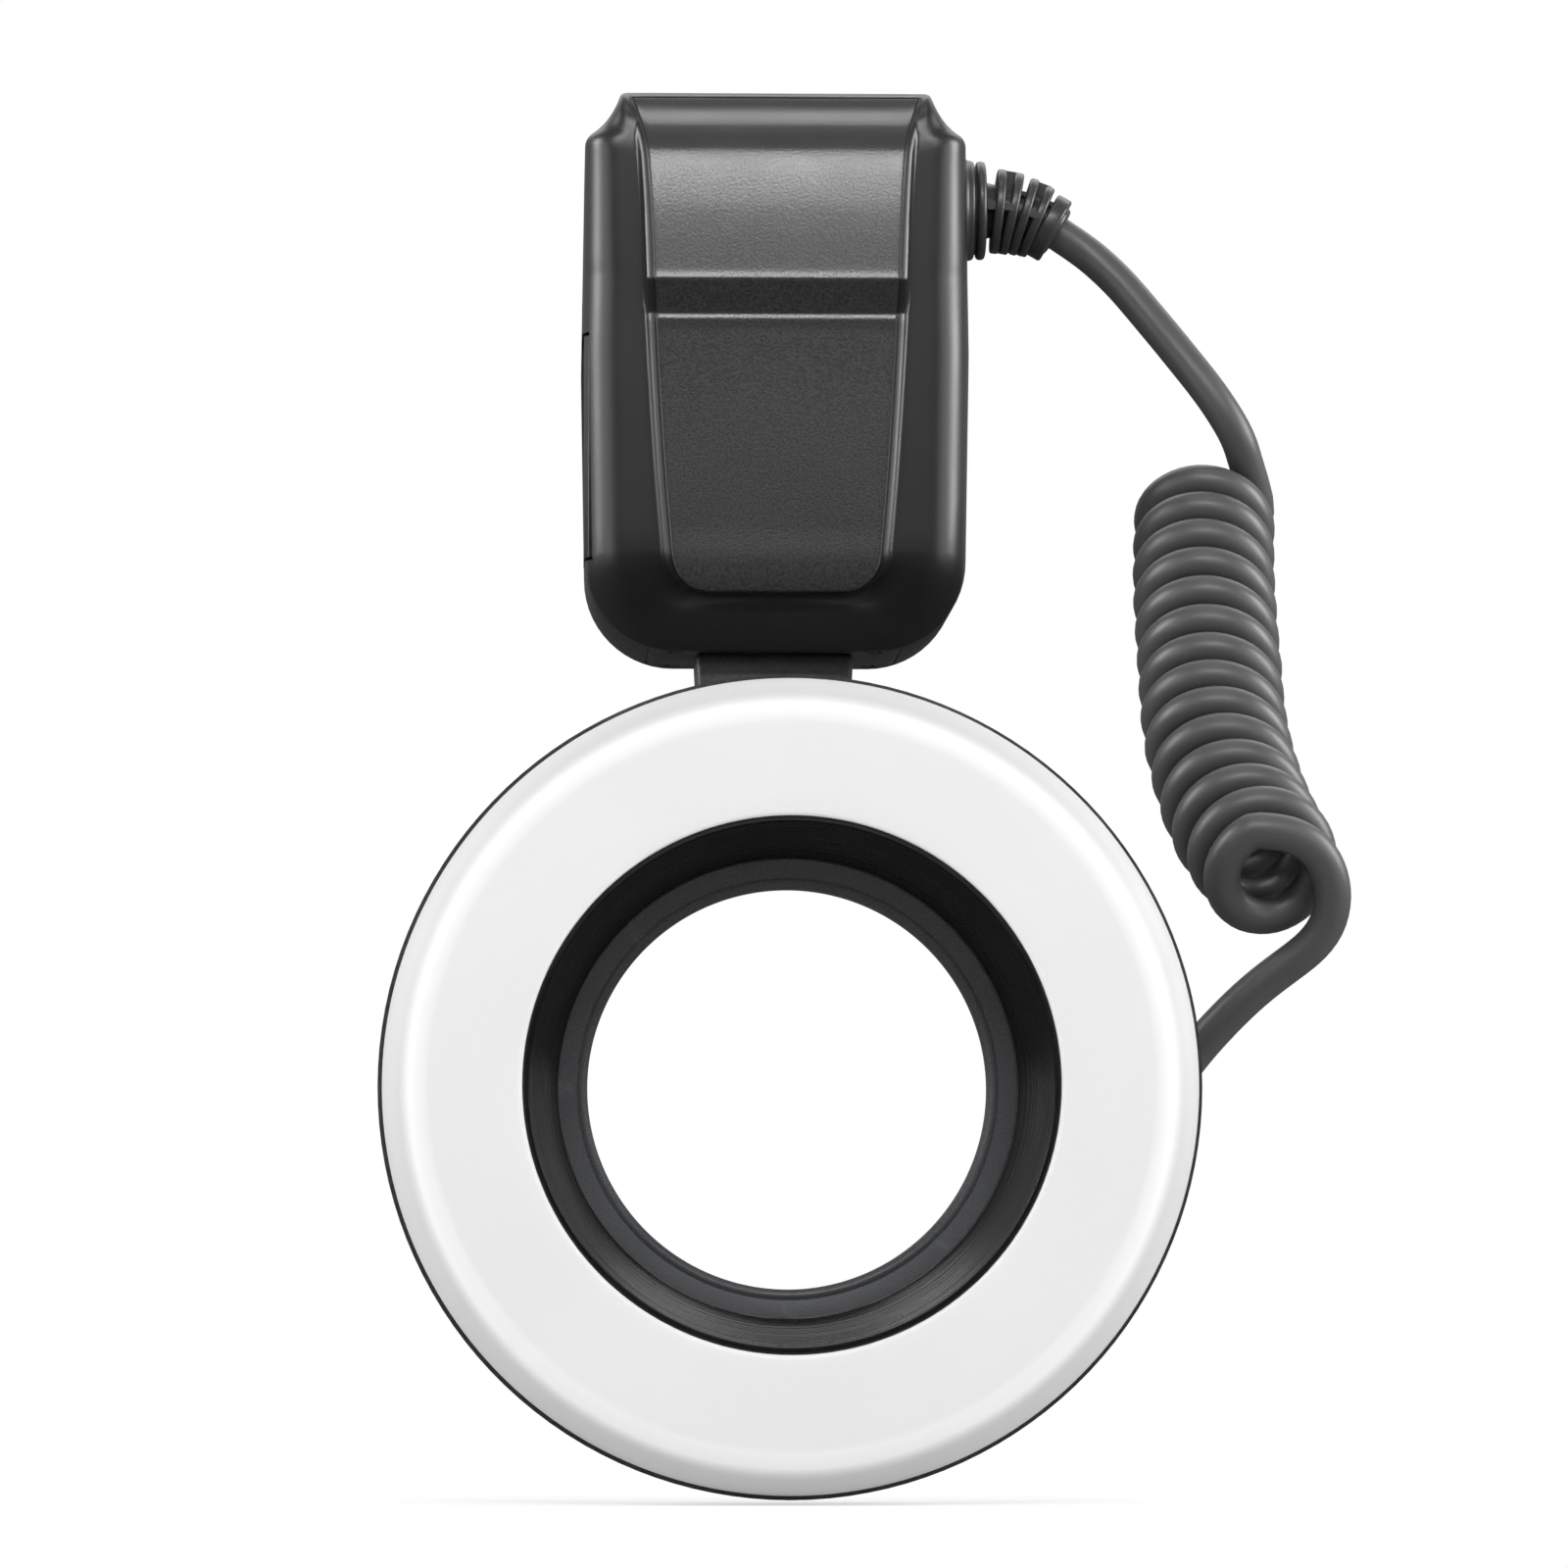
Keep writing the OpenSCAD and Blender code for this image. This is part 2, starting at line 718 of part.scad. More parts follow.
module battery_latch() {
  color(black)
    union() {
      difference() {
        slab(-hw + 0.1, latch_y - 4, latch_z, -hw + wall + 1, latch_y + 4, latch_z + 3.8);
        for (k = [0.9, 1.9, 2.9])
          slab(-hw - 1, latch_y - 5, latch_z + k, -hw + 0.5, latch_y + 5, latch_z + k + 0.4);
      }
      slab(-hw + wall + 0.6, latch_y - 5.5, latch_z, -hw + wall + 1.8, latch_y + 5.5, latch_z + 5);
    }
}

module main_capacitor() {
  color([0.1, 0.11, 0.16])
    translate([-hw + 8.75, bat_y + bat_t / 2 + 0.8, cage_top + 0.1 + cap_r])
      rotate([0, 90, 0])
        union() {
          cylinder(r = cap_r, h = cap_l);
          translate([0, 0, cap_l - 1])
            cylinder(r = cap_r - 1.5, h = 2);
          for (k = [-3.5, 3.5])
            translate([k, 0, cap_l])
              cylinder(r = 0.6, h = 5);
        }
}

// boards and controls

module main_board() {
  color(board_green)
    slab(-hw + 4.75, board_y, base_z + 9, hw - 4.75, board_rear, top_z - 9);
}

module tact_switch(x, z) {
  slab(x - 2.6, board_rear, z - 2.4, x + 2.6, board_rear + 3, z + 2.4);
  translate([x, switch_y, z])
    rotate([90, 0, 0])
      cylinder(r = 1.3, h = 2);
}

module tact_switches() {
  color(black)
    union() {
      for (x = key_x)
        tact_switch(x, key_z);
      for (p = [mode_pos, lamp_pos, test_pos, [0, dial_z]])
        tact_switch(p[0], p[1]);
    }
}

module lcd_module() {
  color([0.55, 0.6, 0.55])
    slab(-lcd_w / 2 - 0.5, board_rear, lcd_z - lcd_h / 2 - 1, lcd_w / 2 + 0.5, rear_in - 3.5, lcd_z + lcd_h / 2 + 1);
}

module lcd_window() {
  color([0.05, 0.06, 0.07, 0.8])
    slab(-lcd_w / 2, unit_rear - 1.2, lcd_z - lcd_h / 2, lcd_w / 2, unit_rear - 0.1, lcd_z + lcd_h / 2);
}

module function_key(k) {
  color(black)
    union() {
      slab(key_x[k] - key_w / 2, rear_in - fit - 0.5, key_z - key_h / 2,
        key_x[k] + key_w / 2, unit_rear + 1, key_z + key_h / 2);
      slab(key_x[k] - key_w / 2 - 1, rear_in - fit - 1.5, key_z - key_h / 2 - 1,
        key_x[k] + key_w / 2 + 1, rear_in - fit, key_z + key_h / 2 + 1);
      slab(key_x[k] - 2, switch_y + key_travel + fit, key_z - 1.5,
        key_x[k] + 2, rear_in - fit - 1, key_z + 1.5);
    }
}

module function_key_1() {
  function_key(0);
}

module function_key_2() {
  function_key(1);
}

module function_key_3() {
  function_key(2);
}

module function_key_4() {
  function_key(3);
}

module round_key(p, r, proud) {
  translate([p[0], unit_rear + proud, p[1]])
    rotate([90, 0, 0])
      union() {
        cylinder(r = r, h = proud + wall + fit + 0.5);
        translate([0, 0, proud + wall + fit])
          cylinder(r = r + 1, h = 1.5);
        cylinder(r = 1.8, h = unit_rear + proud - switch_y - key_travel - fit);
      }
}

module mode_button() {
  color(black)
    round_key(mode_pos, 3.6, 1);
}

module lamp_button() {
  color(black)
    round_key(lamp_pos, 3.6, 1);
}

module test_button() {
  color([0.85, 0.35, 0.2])
    round_key(test_pos, 4.2, 0.8);
}

module control_dial() {
  color(black)
    translate([0, unit_rear, dial_z])
      rotate([-90, 0, 0])
        difference() {
          union() {
            translate([0, 0, fit])
              cylinder(r = dial_d / 2 - 0.5, h = 4.2);
            for (a = [0 : 15 : 345])
              rotate([0, 0, a])
                translate([dial_d / 2 - 0.7, 0, fit + 0.4])
                  cylinder(r = 0.7, h = 3.4);
            translate([0, 0, -rear_in_depth])
              cylinder(r = set_d / 2 + 2.7, h = rear_in_depth + 1);
            translate([0, 0, -wall - fit - 1.4])
              cylinder(r = set_d / 2 + 4.2, h = 1.4);
          }
          translate([0, 0, -20])
            cylinder(r = set_d / 2 + fit, h = 40);
        }
}

module dial_encoder() {
  color([0.3, 0.3, 0.32])
    translate([0, board_rear, dial_z])
      rotate([-90, 0, 0])
        difference() {
          cylinder(r = set_d / 2 + 5, h = 5);
          translate([0, 0, -1])
            cylinder(r = set_d / 2 + 0.6, h = 7);
        }
}

module set_button() {
  color(black)
    translate([0, unit_rear + 5.2, dial_z])
      rotate([90, 0, 0])
        cylinder(d = set_d, h = unit_rear + 5.2 - switch_y - key_travel - fit);
}

module power_switch() {
  color(black)
    translate([power_pos[0], 0, power_pos[1]])
      union() {
        slab(-2.6, unit_rear + fit, -3.2, 2.6, unit_rear + 2, 3.2);
        slab(-1.3, rear_in - 1, -2, 1.3, unit_rear + 1, 2);
        slab(-3.4, rear_in - fit - 2, -3.6, 3.4, rear_in - fit, 3.2);
      }
}

module port_cover() {
  color(black)
    difference() {
      union() {
        slab(hw - cover_t, cover_y[0] + cover_t / 2, cover_z[0], hw, cover_y[1], cover_z[1]);
        translate([hw - cover_t / 2, cover_y[0] + cover_t / 2, cover_z[0]])
          cylinder(d = cover_t, h = cover_z[1] - cover_z[0]);
      }
      slab(hw - 0.5, cover_y[1] - 1.4, cover_z[0] + 14, hw + 1, cover_y[1] + 1, cover_z[0] + 23.4);
    }
}

module usb_port() {
  color(steel)
    difference() {
      slab(port_in, board_rear, usb_z - 4.4, hw - cover_t - 0.3, board_rear + 3.3, usb_z + 4.4);
      slab(port_in + 3.5, board_rear + 0.4, usb_z - 4, hw + 1, board_rear + 2.9, usb_z + 4);
    }
}

module sync_jack() {
  color(black)
    translate([port_in, board_rear + 3, jack_z])
      rotate([0, 90, 0])
        difference() {
          cylinder(r = 2.9, h = hw - cover_t - 0.3 - port_in);
          translate([0, 0, 2])
            cylinder(r = 1.27, h = 20);
        }
}

// cord

module cable_collar() {
  color(black)
    translate([collar_x, 0, collar_z])
      rotate([0, 90, 0])
        union() {
          translate([0, 0, 0.1])
            cylinder(r = collar_r, h = 1.5);
          cylinder(r = collar_r - 1, h = 3.8);
          translate([0, 0, 2.1])
            cylinder(r = collar_r, h = 1.7);
          translate([0, 0, -3.6])
            cylinder(r = collar_r - 2.4 - seat, h = 4);
          translate([0, 0, -4])
            cylinder(r = collar_r - 1.2, h = 1.5);
        }
}

boot_ribs = [[4.6, 7.4], [10.6, 7.3], [16.8, 6.9], [22.8, 6.5], [30, 6]];
boot_bars = [[4.6, 10.6, 0], [10.6, 16.8, 45], [16.8, 22.8, 0], [22.8, 30, 45]];

module on_boot(a) {
  translate([boot_x + boot_bend * sin(a), 0, collar_z - boot_bend * (1 - cos(a))])
    rotate([0, 90 + a, 0])
      children();
}

module cable_boot() {
  color(black)
    union() {
      translate([boot_x, 0, collar_z - boot_bend])
        rotate([90, 0, 0])
          rotate([0, 0, 90 - boot_turn])
            rotate_extrude(angle = boot_turn)
              translate([boot_bend, 0])
                circle(r = 4.3);
      for (r = boot_ribs)
        on_boot(r[0])
          translate([0, 0, -0.75])
            cylinder(r = r[1], h = 1.5);
      for (b = boot_bars, q = [0, 90, 180, 270])
        on_boot((b[0] + b[1]) / 2)
          rotate([0, 0, b[2] + q])
            translate([3.4, -0.9, -1])
              cube([2, 1.8, 2]);
    }
}

module cord_upper() {
  color(cord_grey)
    tube(upper_line, [[0, 1, 0]], cord_d, 10);
}

module cord_coil() {
  color(cord_grey)
    tube(coil_line, coil_refs, cord_d, curl_sides);
}

module cord_lower() {
  color(cord_grey)
    tube(lower_line, [[0, 1, 0]], cord_d, 10);
}

// ring head

shell_profile = [
  [throat_r, floor_h], [recess_r, floor_h], [recess_r, 0], [body_r - 3, 0], [body_r, 3],
  [body_r, 10.5], [ring_r, 12.5], [ring_r, seam_h], [ring_r - ring_wall - 0.3, seam_h],
  [ring_r - ring_wall - 0.3, 13.2], [body_r - ring_wall, 11], [body_r - ring_wall, ring_wall + 0.4],
  [body_r - ring_wall - 0.8, ring_wall], [recess_r + 1.7, ring_wall],
  [recess_r + 1.7, floor_top], [throat_r, floor_top]
];

module claw_window() {
  out_x = claw_x + claw_t + claw_travel + 0.5;
  slab(tip_x - 0.6, -claw_w / 2 - 0.5, -0.1, out_x, claw_w / 2 + 0.5, floor_h);
  slab(claw_x - 0.4, -claw_w / 2 - 0.5, 0, out_x, claw_w / 2 + 0.5, floor_top + 0.1);
}

module ring_rear_shell() {
  color(black)
    at_lens()
      difference() {
        union() {
          rotate_extrude($fn = 128)
            polygon(shell_profile);
          for (s = [0, 1])
            mirror([s, 0, 0])
              slab(post_x, -2.5, ring_wall - 0.5, post_x + 2, 2.5, 8.2);
          translate(gland - 9 * unit(gland_dir))
            along(gland_dir)
              cylinder(r = 6.2, h = 9);
          translate([gland[0], gland[1], 0])
            rotate([0, 0, atan2(gland_dir[1], gland_dir[0])])
              slab(-9, -6.2, gland[2] + 1, -1.2, 6.2, 1.5);
        }
        for (s = [0, 1])
          mirror([s, 0, 0]) {
            claw_window();
            slab(body_r - 4, -pad_w / 2 - 0.4, pad_h[0] - 0.4, ring_r + 2, pad_w / 2 + 0.4, pad_h[1] + 0.4);
          }
        for (a = [45 : 90 : 315])
          rotate([0, 0, a])
            translate([screw_r, 0, -0.1]) {
              cylinder(r = 1.1, h = 4);
              cylinder(r = 2.2, h = 1.3);
            }
      }
}

module diffuser() {
  knee = [dome_r - shoulder_r, ring_depth - shoulder_r];
  color(milk)
    at_lens()
      rotate_extrude($fn = 128)
        polygon(concat(
          [[dome_r, seam_h]],
          arc(knee, shoulder_r, 0, 90),
          [
            [open_r + 0.7, ring_depth], [open_r, ring_depth - 0.7], [open_r, ring_depth - 2.4],
            [open_r + 1.8, ring_depth - 2.4], [open_r + 1.8, ring_depth - ring_wall]
          ],
          arc(knee, shoulder_r - ring_wall, 90, 0),
          [[dome_r - ring_wall, seam_h]]
        ));
}

function cone_r(h) = throat_r + 0.1
  + (h - floor_top) * (bezel_in - throat_r - 0.1) / (bezel_top - floor_top);

module inner_bezel() {
  color(black)
    at_lens()
      rotate_extrude($fn = 128)
        polygon([
          [cone_r(floor_top), floor_top], [bezel_in, bezel_top], [bezel_out, bezel_top],
          [bezel_out, bezel_top - 2], [bezel_out + 1.8, bezel_top - 2],
          [bezel_out + 1.8, bezel_top - 3.2], [cone_r(bezel_top - 3.2) + 1.3, bezel_top - 3.2],
          [cone_r(floor_top + 1.4) + 1.3, floor_top + 1.4], [throat_r + bezel_foot, floor_top + 1.4],
          [throat_r + bezel_foot, floor_top]
        ]);
}

module reflector() {
  color([0.88, 0.88, 0.9])
    at_lens()
      difference() {
        union() {
          rotate_extrude($fn = 128)
            polygon([
              [ref_in, ref_h], [open_r + 2.3, ring_depth - 4.2], [open_r + 3.1, ring_depth - 4.2],
              [ref_in + 0.7, ref_floor], [ref_out - 0.6, ref_floor], [dome_r - 3.8, ring_depth - 6.5],
              [dome_r - 3, ring_depth - 6.5], [ref_out, ref_h]
            ]);
          for (a = [45 : 90 : 315])
            rotate([0, 0, a])
              translate([screw_r, 0, ring_wall + 0.6])
                cylinder(r = boss_r, h = ref_h - 0.4 - ring_wall);
        }
        for (a = [45 : 90 : 315])
          rotate([0, 0, a])
            translate([screw_r, 0, 0])
              cylinder(r = 0.95, h = 8);
      }
}

module flash_tube(mid) {
  color([0.86, 0.9, 0.92, 0.7])
    at_lens()
      translate([0, 0, tube_h])
        rotate([0, 0, mid - tube_arc / 2])
          rotate_extrude(angle = tube_arc, $fn = 128)
            translate([tube_r, 0])
              circle(d = tube_d);
}

module flash_tube_left() {
  flash_tube(180);
}

module flash_tube_right() {
  flash_tube(0);
}

module tube_electrodes() {
  color(steel)
    at_lens()
      for (mid = [0, 180], s = [-1, 1])
        rotate([0, 0, mid + s * tube_arc / 2])
          translate([tube_r, 0, tube_h])
            rotate([-90 * s, 0, 0])
              cylinder(d = tube_d + 0.4, h = 3.6);
}

module tube_clips() {
  color([0.75, 0.75, 0.75])
    at_lens()
      for (mid = [0, 180], a = [-50, 0, 50])
        rotate([0, 0, mid + a - 2.2])
          rotate_extrude(angle = 4.4, $fn = 128)
            difference() {
              translate([tube_r - 3.4, ref_floor])
                square([6.8, tube_h - ref_floor]);
              translate([tube_r, tube_h])
                circle(d = tube_d + 0.2);
            }
}

module lamp_boards() {
  color(board_green)
    at_lens()
      for (s = [-1, 1])
        translate([0, s * tube_r, 0])
          slab(-7.5, -3.4, ref_floor, 7.5, 3.4, ref_floor + 1.2);
}

module modelling_lamps() {
  color([0.95, 0.9, 0.6])
    at_lens()
      for (s = [-1, 1], x = [-4, 4])
        translate([x, s * tube_r, 0])
          slab(-lamp_w / 2, -lamp_w / 2, ref_floor + 1.2, lamp_w / 2, lamp_w / 2, ref_floor + 2.1);
}

module trigger_board() {
  color(board_green)
    at_lens()
      difference() {
        translate([0, 0, ref_h - 1.4])
          rotate([0, 0, 30])
            rotate_extrude(angle = 120, $fn = 128)
              translate([ref_in - 1, 0])
                square([ref_out - ref_in + 0.5, 1.2]);
        for (a = [45, 135])
          rotate([0, 0, a])
            translate([screw_r, 0, 0])
              cylinder(r = boss_r + seat, h = 12);
      }
}

module claw_plate(h) {
  union() {
    translate([0, 0, h])
      difference() {
        cylinder(r = plate_out, h = plate_t);
        translate([0, 0, -1])
          cylinder(r = plate_in, h = plate_t + 2);
        slab(0, -rail_z, -1, plate_out + 1, rail_z, plate_t + 1);
      }
    for (z = [-rail_z - rail_w, rail_z])
      slab(plate_in, z, h, pad_x, z + rail_w, h + plate_t);
    slab(pad_x - 2.7, -rail_z - rail_w, h, pad_x, rail_z + rail_w, h + plate_t);
    slab(-claw_x - claw_t, -claw_w / 2, claw_h, -claw_x, claw_w / 2, h + plate_t);
    slab(-claw_x - 0.1, -claw_w / 2, claw_h, -tip_x, claw_w / 2, claw_h + tip_t);
  }
}

module right_claw_plate() {
  color(steel)
    at_lens()
      claw_plate(right_plate_h);
}

module left_claw_plate() {
  color(steel)
    at_lens()
      mirror([1, 0, 0])
        claw_plate(left_plate_h);
}

module release_pad() {
  difference() {
    intersection() {
      cylinder(r = ring_r - 0.9, h = 20, $fn = 360);
      slab(pad_x, -pad_w / 2, pad_h[0], ring_r, pad_w / 2, pad_h[1]);
    }
    for (k = [-2 : 2])
      slab(ring_r - 1.4, 3 * k - 0.4, pad_h[0] - 1, ring_r + 1, 3 * k + 0.4, pad_h[1] + 1);
  }
}

module right_release_button() {
  color(black)
    at_lens()
      release_pad();
}

module left_release_button() {
  color(black)
    at_lens()
      mirror([1, 0, 0])
        release_pad();
}

// a spring from the housing's post to the end bar of its plate
module release_spring(h) {
  x0 = post_x + 2.35;
  x1 = pad_x - 3.05;
  line = [for (k = [0 : 32])
    [x0 + (x1 - x0) * k / 32, 1.8 * cos(45 * k), h + plate_t / 2 + 1.8 * sin(45 * k)]];
  tube(line, [[1, 0, 0]], 0.5, 6);
}

module right_release_spring() {
  color(steel)
    at_lens()
      release_spring(right_plate_h);
}

module left_release_spring() {
  color(steel)
    at_lens()
      mirror([1, 0, 0])
        release_spring(left_plate_h);
}

module ring_screws() {
  color(steel)
    at_lens()
      for (a = [45 : 90 : 315])
        rotate([0, 0, a])
          translate([screw_r, 0, 1.2])
            cross_screw(1.9, 1, 0.85, 6);
}

module ring_boot() {
  color(black)
    at_lens()
      translate(gland)
        along(gland_dir)
          rotate_extrude()
            polygon([
              [0, 0], [5, 0], [5, 2], [4.2, 2], [4.2, 3], [4.8, 3], [4.8, 4.6], [4.1, 4.6], [4.1, 5.6],
              [4.5, 5.6], [4.5, 7.2], [4, 7.2], [4, 8.2], [4.3, 8.2], [4.1, ring_boot_l], [0, ring_boot_l]
            ]);
}

module adapter_ring() {
  thread_r = thread_d / 2;
  bore_r = thread_r - thread_wall;
  color(adapter_grey)
    at_lens()
      rotate_extrude($fn = 128)
        polygon([
          [bore_r, -thread_len], [thread_r, -thread_len], [thread_r, 0], [flange_r, 0],
          [flange_r, claw_h - fit], [flange_r - groove, claw_h - fit],
          [flange_r - groove, claw_h + tip_t + fit], [flange_r, claw_h + tip_t + fit],
          [flange_r, flange_t], [bore_r + 0.8, flange_t], [bore_r, flange_t - 0.6]
        ]);
}

front_shell();
front_panel();
rear_shell();
base_plate();
base_screws();
foot_block();
shoe_foot();
lock_lever();
lock_pin();
shoe_contacts();
battery_cage();
battery_contacts();
battery_pack();
battery_latch();
main_capacitor();
main_board();
tact_switches();
lcd_module();
lcd_window();
function_key_1();
function_key_2();
function_key_3();
function_key_4();
mode_button();
lamp_button();
test_button();
control_dial();
dial_encoder();
set_button();
power_switch();
port_cover();
usb_port();
sync_jack();
cable_collar();
cable_boot();
cord_upper();
cord_coil();
cord_lower();
ring_boot();
ring_rear_shell();
diffuser();
inner_bezel();
reflector();
flash_tube_left();
flash_tube_right();
tube_electrodes();
tube_clips();
lamp_boards();
modelling_lamps();
trigger_board();
left_claw_plate();
right_claw_plate();
left_release_button();
right_release_button();
left_release_spring();
right_release_spring();
ring_screws();
adapter_ring();
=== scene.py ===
import bmesh
import bpy
import json
import math
import numpy as np
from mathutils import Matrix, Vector


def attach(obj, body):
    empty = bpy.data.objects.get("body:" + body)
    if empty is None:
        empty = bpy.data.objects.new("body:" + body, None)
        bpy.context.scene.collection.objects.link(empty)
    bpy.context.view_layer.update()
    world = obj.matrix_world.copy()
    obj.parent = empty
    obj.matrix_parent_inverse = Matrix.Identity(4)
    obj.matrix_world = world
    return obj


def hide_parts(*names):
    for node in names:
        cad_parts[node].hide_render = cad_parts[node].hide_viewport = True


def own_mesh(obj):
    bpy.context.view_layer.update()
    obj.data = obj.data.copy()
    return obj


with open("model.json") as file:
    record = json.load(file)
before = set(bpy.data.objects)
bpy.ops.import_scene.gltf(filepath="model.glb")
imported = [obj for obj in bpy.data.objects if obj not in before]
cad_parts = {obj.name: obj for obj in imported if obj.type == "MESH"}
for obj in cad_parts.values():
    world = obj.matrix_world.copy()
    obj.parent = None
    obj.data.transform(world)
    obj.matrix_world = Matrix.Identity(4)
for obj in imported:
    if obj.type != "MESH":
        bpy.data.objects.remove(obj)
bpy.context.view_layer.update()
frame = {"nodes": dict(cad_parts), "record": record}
mm = 0.001
lensSetup = {"backY": -84, "axisZ": -57, "segments": 224}  # the ring's back face, the lens axis, steps round it
scene = bpy.context.scene
scene.view_settings.view_transform = "Standard"

# stage: camera, floor, lamps and world

stageSetup = {
    "spot": (-36.82, -1311, -91.23),
    "aim": (0.029497, 0.99726, 0.067843),
    "lens": 174.96,
    "floorZ": -123.2,
    "floorSize": 9000,
    "floorColor": (0.8, 0.8, 0.8),
    "bounceColor": (0.04, 0.04, 0.04),
    "bounceShare": 0.5,
    "mirrorShare": 0.04,
    "shadowSpot": (0, -95),
    "shadowShare": 0.4,
    "shadowReach": (0.03, 0.13),  # metres
}

worldSetup = {
    # from and to along an axis, and the strengths there
    "overhead": (-0.25, 0.8, 0.02, 0.13),
    "behind": (0.15, 0.8, 0, 0.55),
    "wall": (-0.1, 0.35, 0.04, 0.38),
    "aside": (0.2, 0.42, 0, 0.95),
    "through": (0.55, 0.95, 1, 0.26),
}

softBoxes = [
    # name, spot, target, width, height, watts
    ("topBox", (0, -900, 720), (0, -40, 40), 760, 120, 6.4),
    ("midBox", (0, -1150, 420), (0, -40, 40), 760, 260, 0.8),
    ("leftBox", (-840, -110, 370), (0, -20, 60), 330, 520, 6.6),
    ("rightBox", (840, -110, 320), (0, -20, 60), 330, 520, 7.6),
    ("leftWide", (-760, -600, 150), (0, -20, 20), 420, 600, 1.65),
    ("rightWide", (760, -600, 150), (0, -20, 20), 420, 600, 1.65),
    ("overBox", (0, -205, 960), (0, -20, 60), 500, 120, 0.8),
    ("backBox", (0, 800, 900), (0, 0, 40), 1600, 700, 6),
]


def meshFrom(name, points, faces):
    mesh = bpy.data.meshes.new(name)
    mesh.from_pydata([tuple(float(c) * mm for c in p) for p in points], [], faces)
    return mesh


def addObject(name, data):
    thing = bpy.data.objects.new(name, data)
    scene.collection.objects.link(thing)
    return thing


def addAimed(name, data, spot, aim):
    thing = addObject(name, data)
    thing.location = Vector(spot) * mm
    thing.rotation_mode = "QUATERNION"
    thing.rotation_quaternion = Vector(aim).to_track_quat("-Z", "Y")
    return thing


def placeCamera():
    lens = bpy.data.cameras.new("photoCamera")
    lens.sensor_width = 36
    lens.lens = stageSetup["lens"]
    lens.clip_start, lens.clip_end = 0.05, 50
    scene.camera = addAimed("photoCamera", lens, stageSetup["spot"], stageSetup["aim"])


def placeSoftBoxes():
    for name, spot, target, width, height, watts in softBoxes:
        lamp = bpy.data.lights.new(name, "AREA")
        lamp.shape = "RECTANGLE"
        lamp.size, lamp.size_y = width * mm, height * mm
        lamp.energy = watts
        addAimed(name, lamp, spot, Vector(target) - Vector(spot))


def clearTree(owner):
    owner.use_nodes = True
    owner.node_tree.nodes.clear()
    return owner.node_tree


def addNode(tree, kind):
    return tree.nodes.new("ShaderNode" + kind)


def feed(tree, socket, value):
    # sets a number or a color, links anything else
    if isinstance(value, (int, float)):
        socket.default_value = value
    elif isinstance(value, tuple):
        socket.default_value = (*value, 1)
    else:
        tree.links.new(value, socket)


def mathNode(tree, operation, *values):
    node = addNode(tree, "Math")
    node.operation = operation
    for slot, value in enumerate(values):
        feed(tree, node.inputs[slot], value)
    return node.outputs[0]


def times(tree, first, *others):
    for value in others:
        first = mathNode(tree, "MULTIPLY", first, value)
    return first


def stepNode(tree, value, low, high, start=0, end=1):
    node = addNode(tree, "MapRange")
    node.interpolation_type = "SMOOTHSTEP"
    labels = ("Value", "From Min", "From Max", "To Min", "To Max")
    for label, number in zip(labels, (value, low, high, start, end)):
        feed(tree, node.inputs[label], number)
    return node.outputs["Result"]


def splitNode(tree, vector):
    node = addNode(tree, "SeparateXYZ")
    tree.links.new(vector, node.inputs[0])
    return node.outputs


def mixColor(tree, factor, a, b):
    node = addNode(tree, "Mix")
    node.data_type = "RGBA"
    for slot, value in ((0, factor), (6, a), (7, b)):
        feed(tree, node.inputs[slot], value)
    return node.outputs[2]


def mixShaders(tree, factor, a, b):
    node = addNode(tree, "MixShader")
    for slot, value in enumerate((factor, a, b)):
        tree.links.new(value, node.inputs[slot])
    return node.outputs[0]


def seenByEye(tree, mirrored):
    # straight to the eye or through glass, and in reflections by the share given
    path = addNode(tree, "LightPath").outputs
    straight = mathNode(tree, "MAXIMUM", path["Is Camera Ray"], path["Is Transmission Ray"])
    mirror = times(tree, path["Is Glossy Ray"], mirrored)
    return straight, mathNode(tree, "MAXIMUM", straight, mirror)


def makeWorld():
    scene.world = bpy.data.worlds.new("studio")
    tree = clearTree(scene.world)
    shown, glow = addNode(tree, "Background"), addNode(tree, "Background")
    for sky in (shown, glow):
        sky.inputs["Color"].default_value = (1, 1, 1, 1)
    way = splitNode(tree, addNode(tree, "TexCoord").outputs["Generated"])
    soft = stepNode(tree, way["Z"], *worldSetup["overhead"])
    behind = stepNode(tree, way["Y"], *worldSetup["behind"])
    diffuse = addNode(tree, "LightPath").outputs["Is Diffuse Ray"]
    tree.links.new(mathNode(tree, "MULTIPLY_ADD", behind, diffuse, soft), glow.inputs["Strength"])
    # the white wall stands behind, dimmer straight through the ring
    wall = stepNode(tree, way["Y"], *worldSetup["wall"])
    aside = stepNode(tree, mathNode(tree, "ABSOLUTE", way["X"]), *worldSetup["aside"])
    through = mathNode(tree, "MAXIMUM", stepNode(tree, way["Y"], *worldSetup["through"]), aside)
    eye = seenByEye(tree, times(tree, wall, through))[1]
    mix = mixShaders(tree, eye, glow.outputs[0], shown.outputs[0])
    tree.links.new(mix, addNode(tree, "OutputWorld").inputs["Surface"])


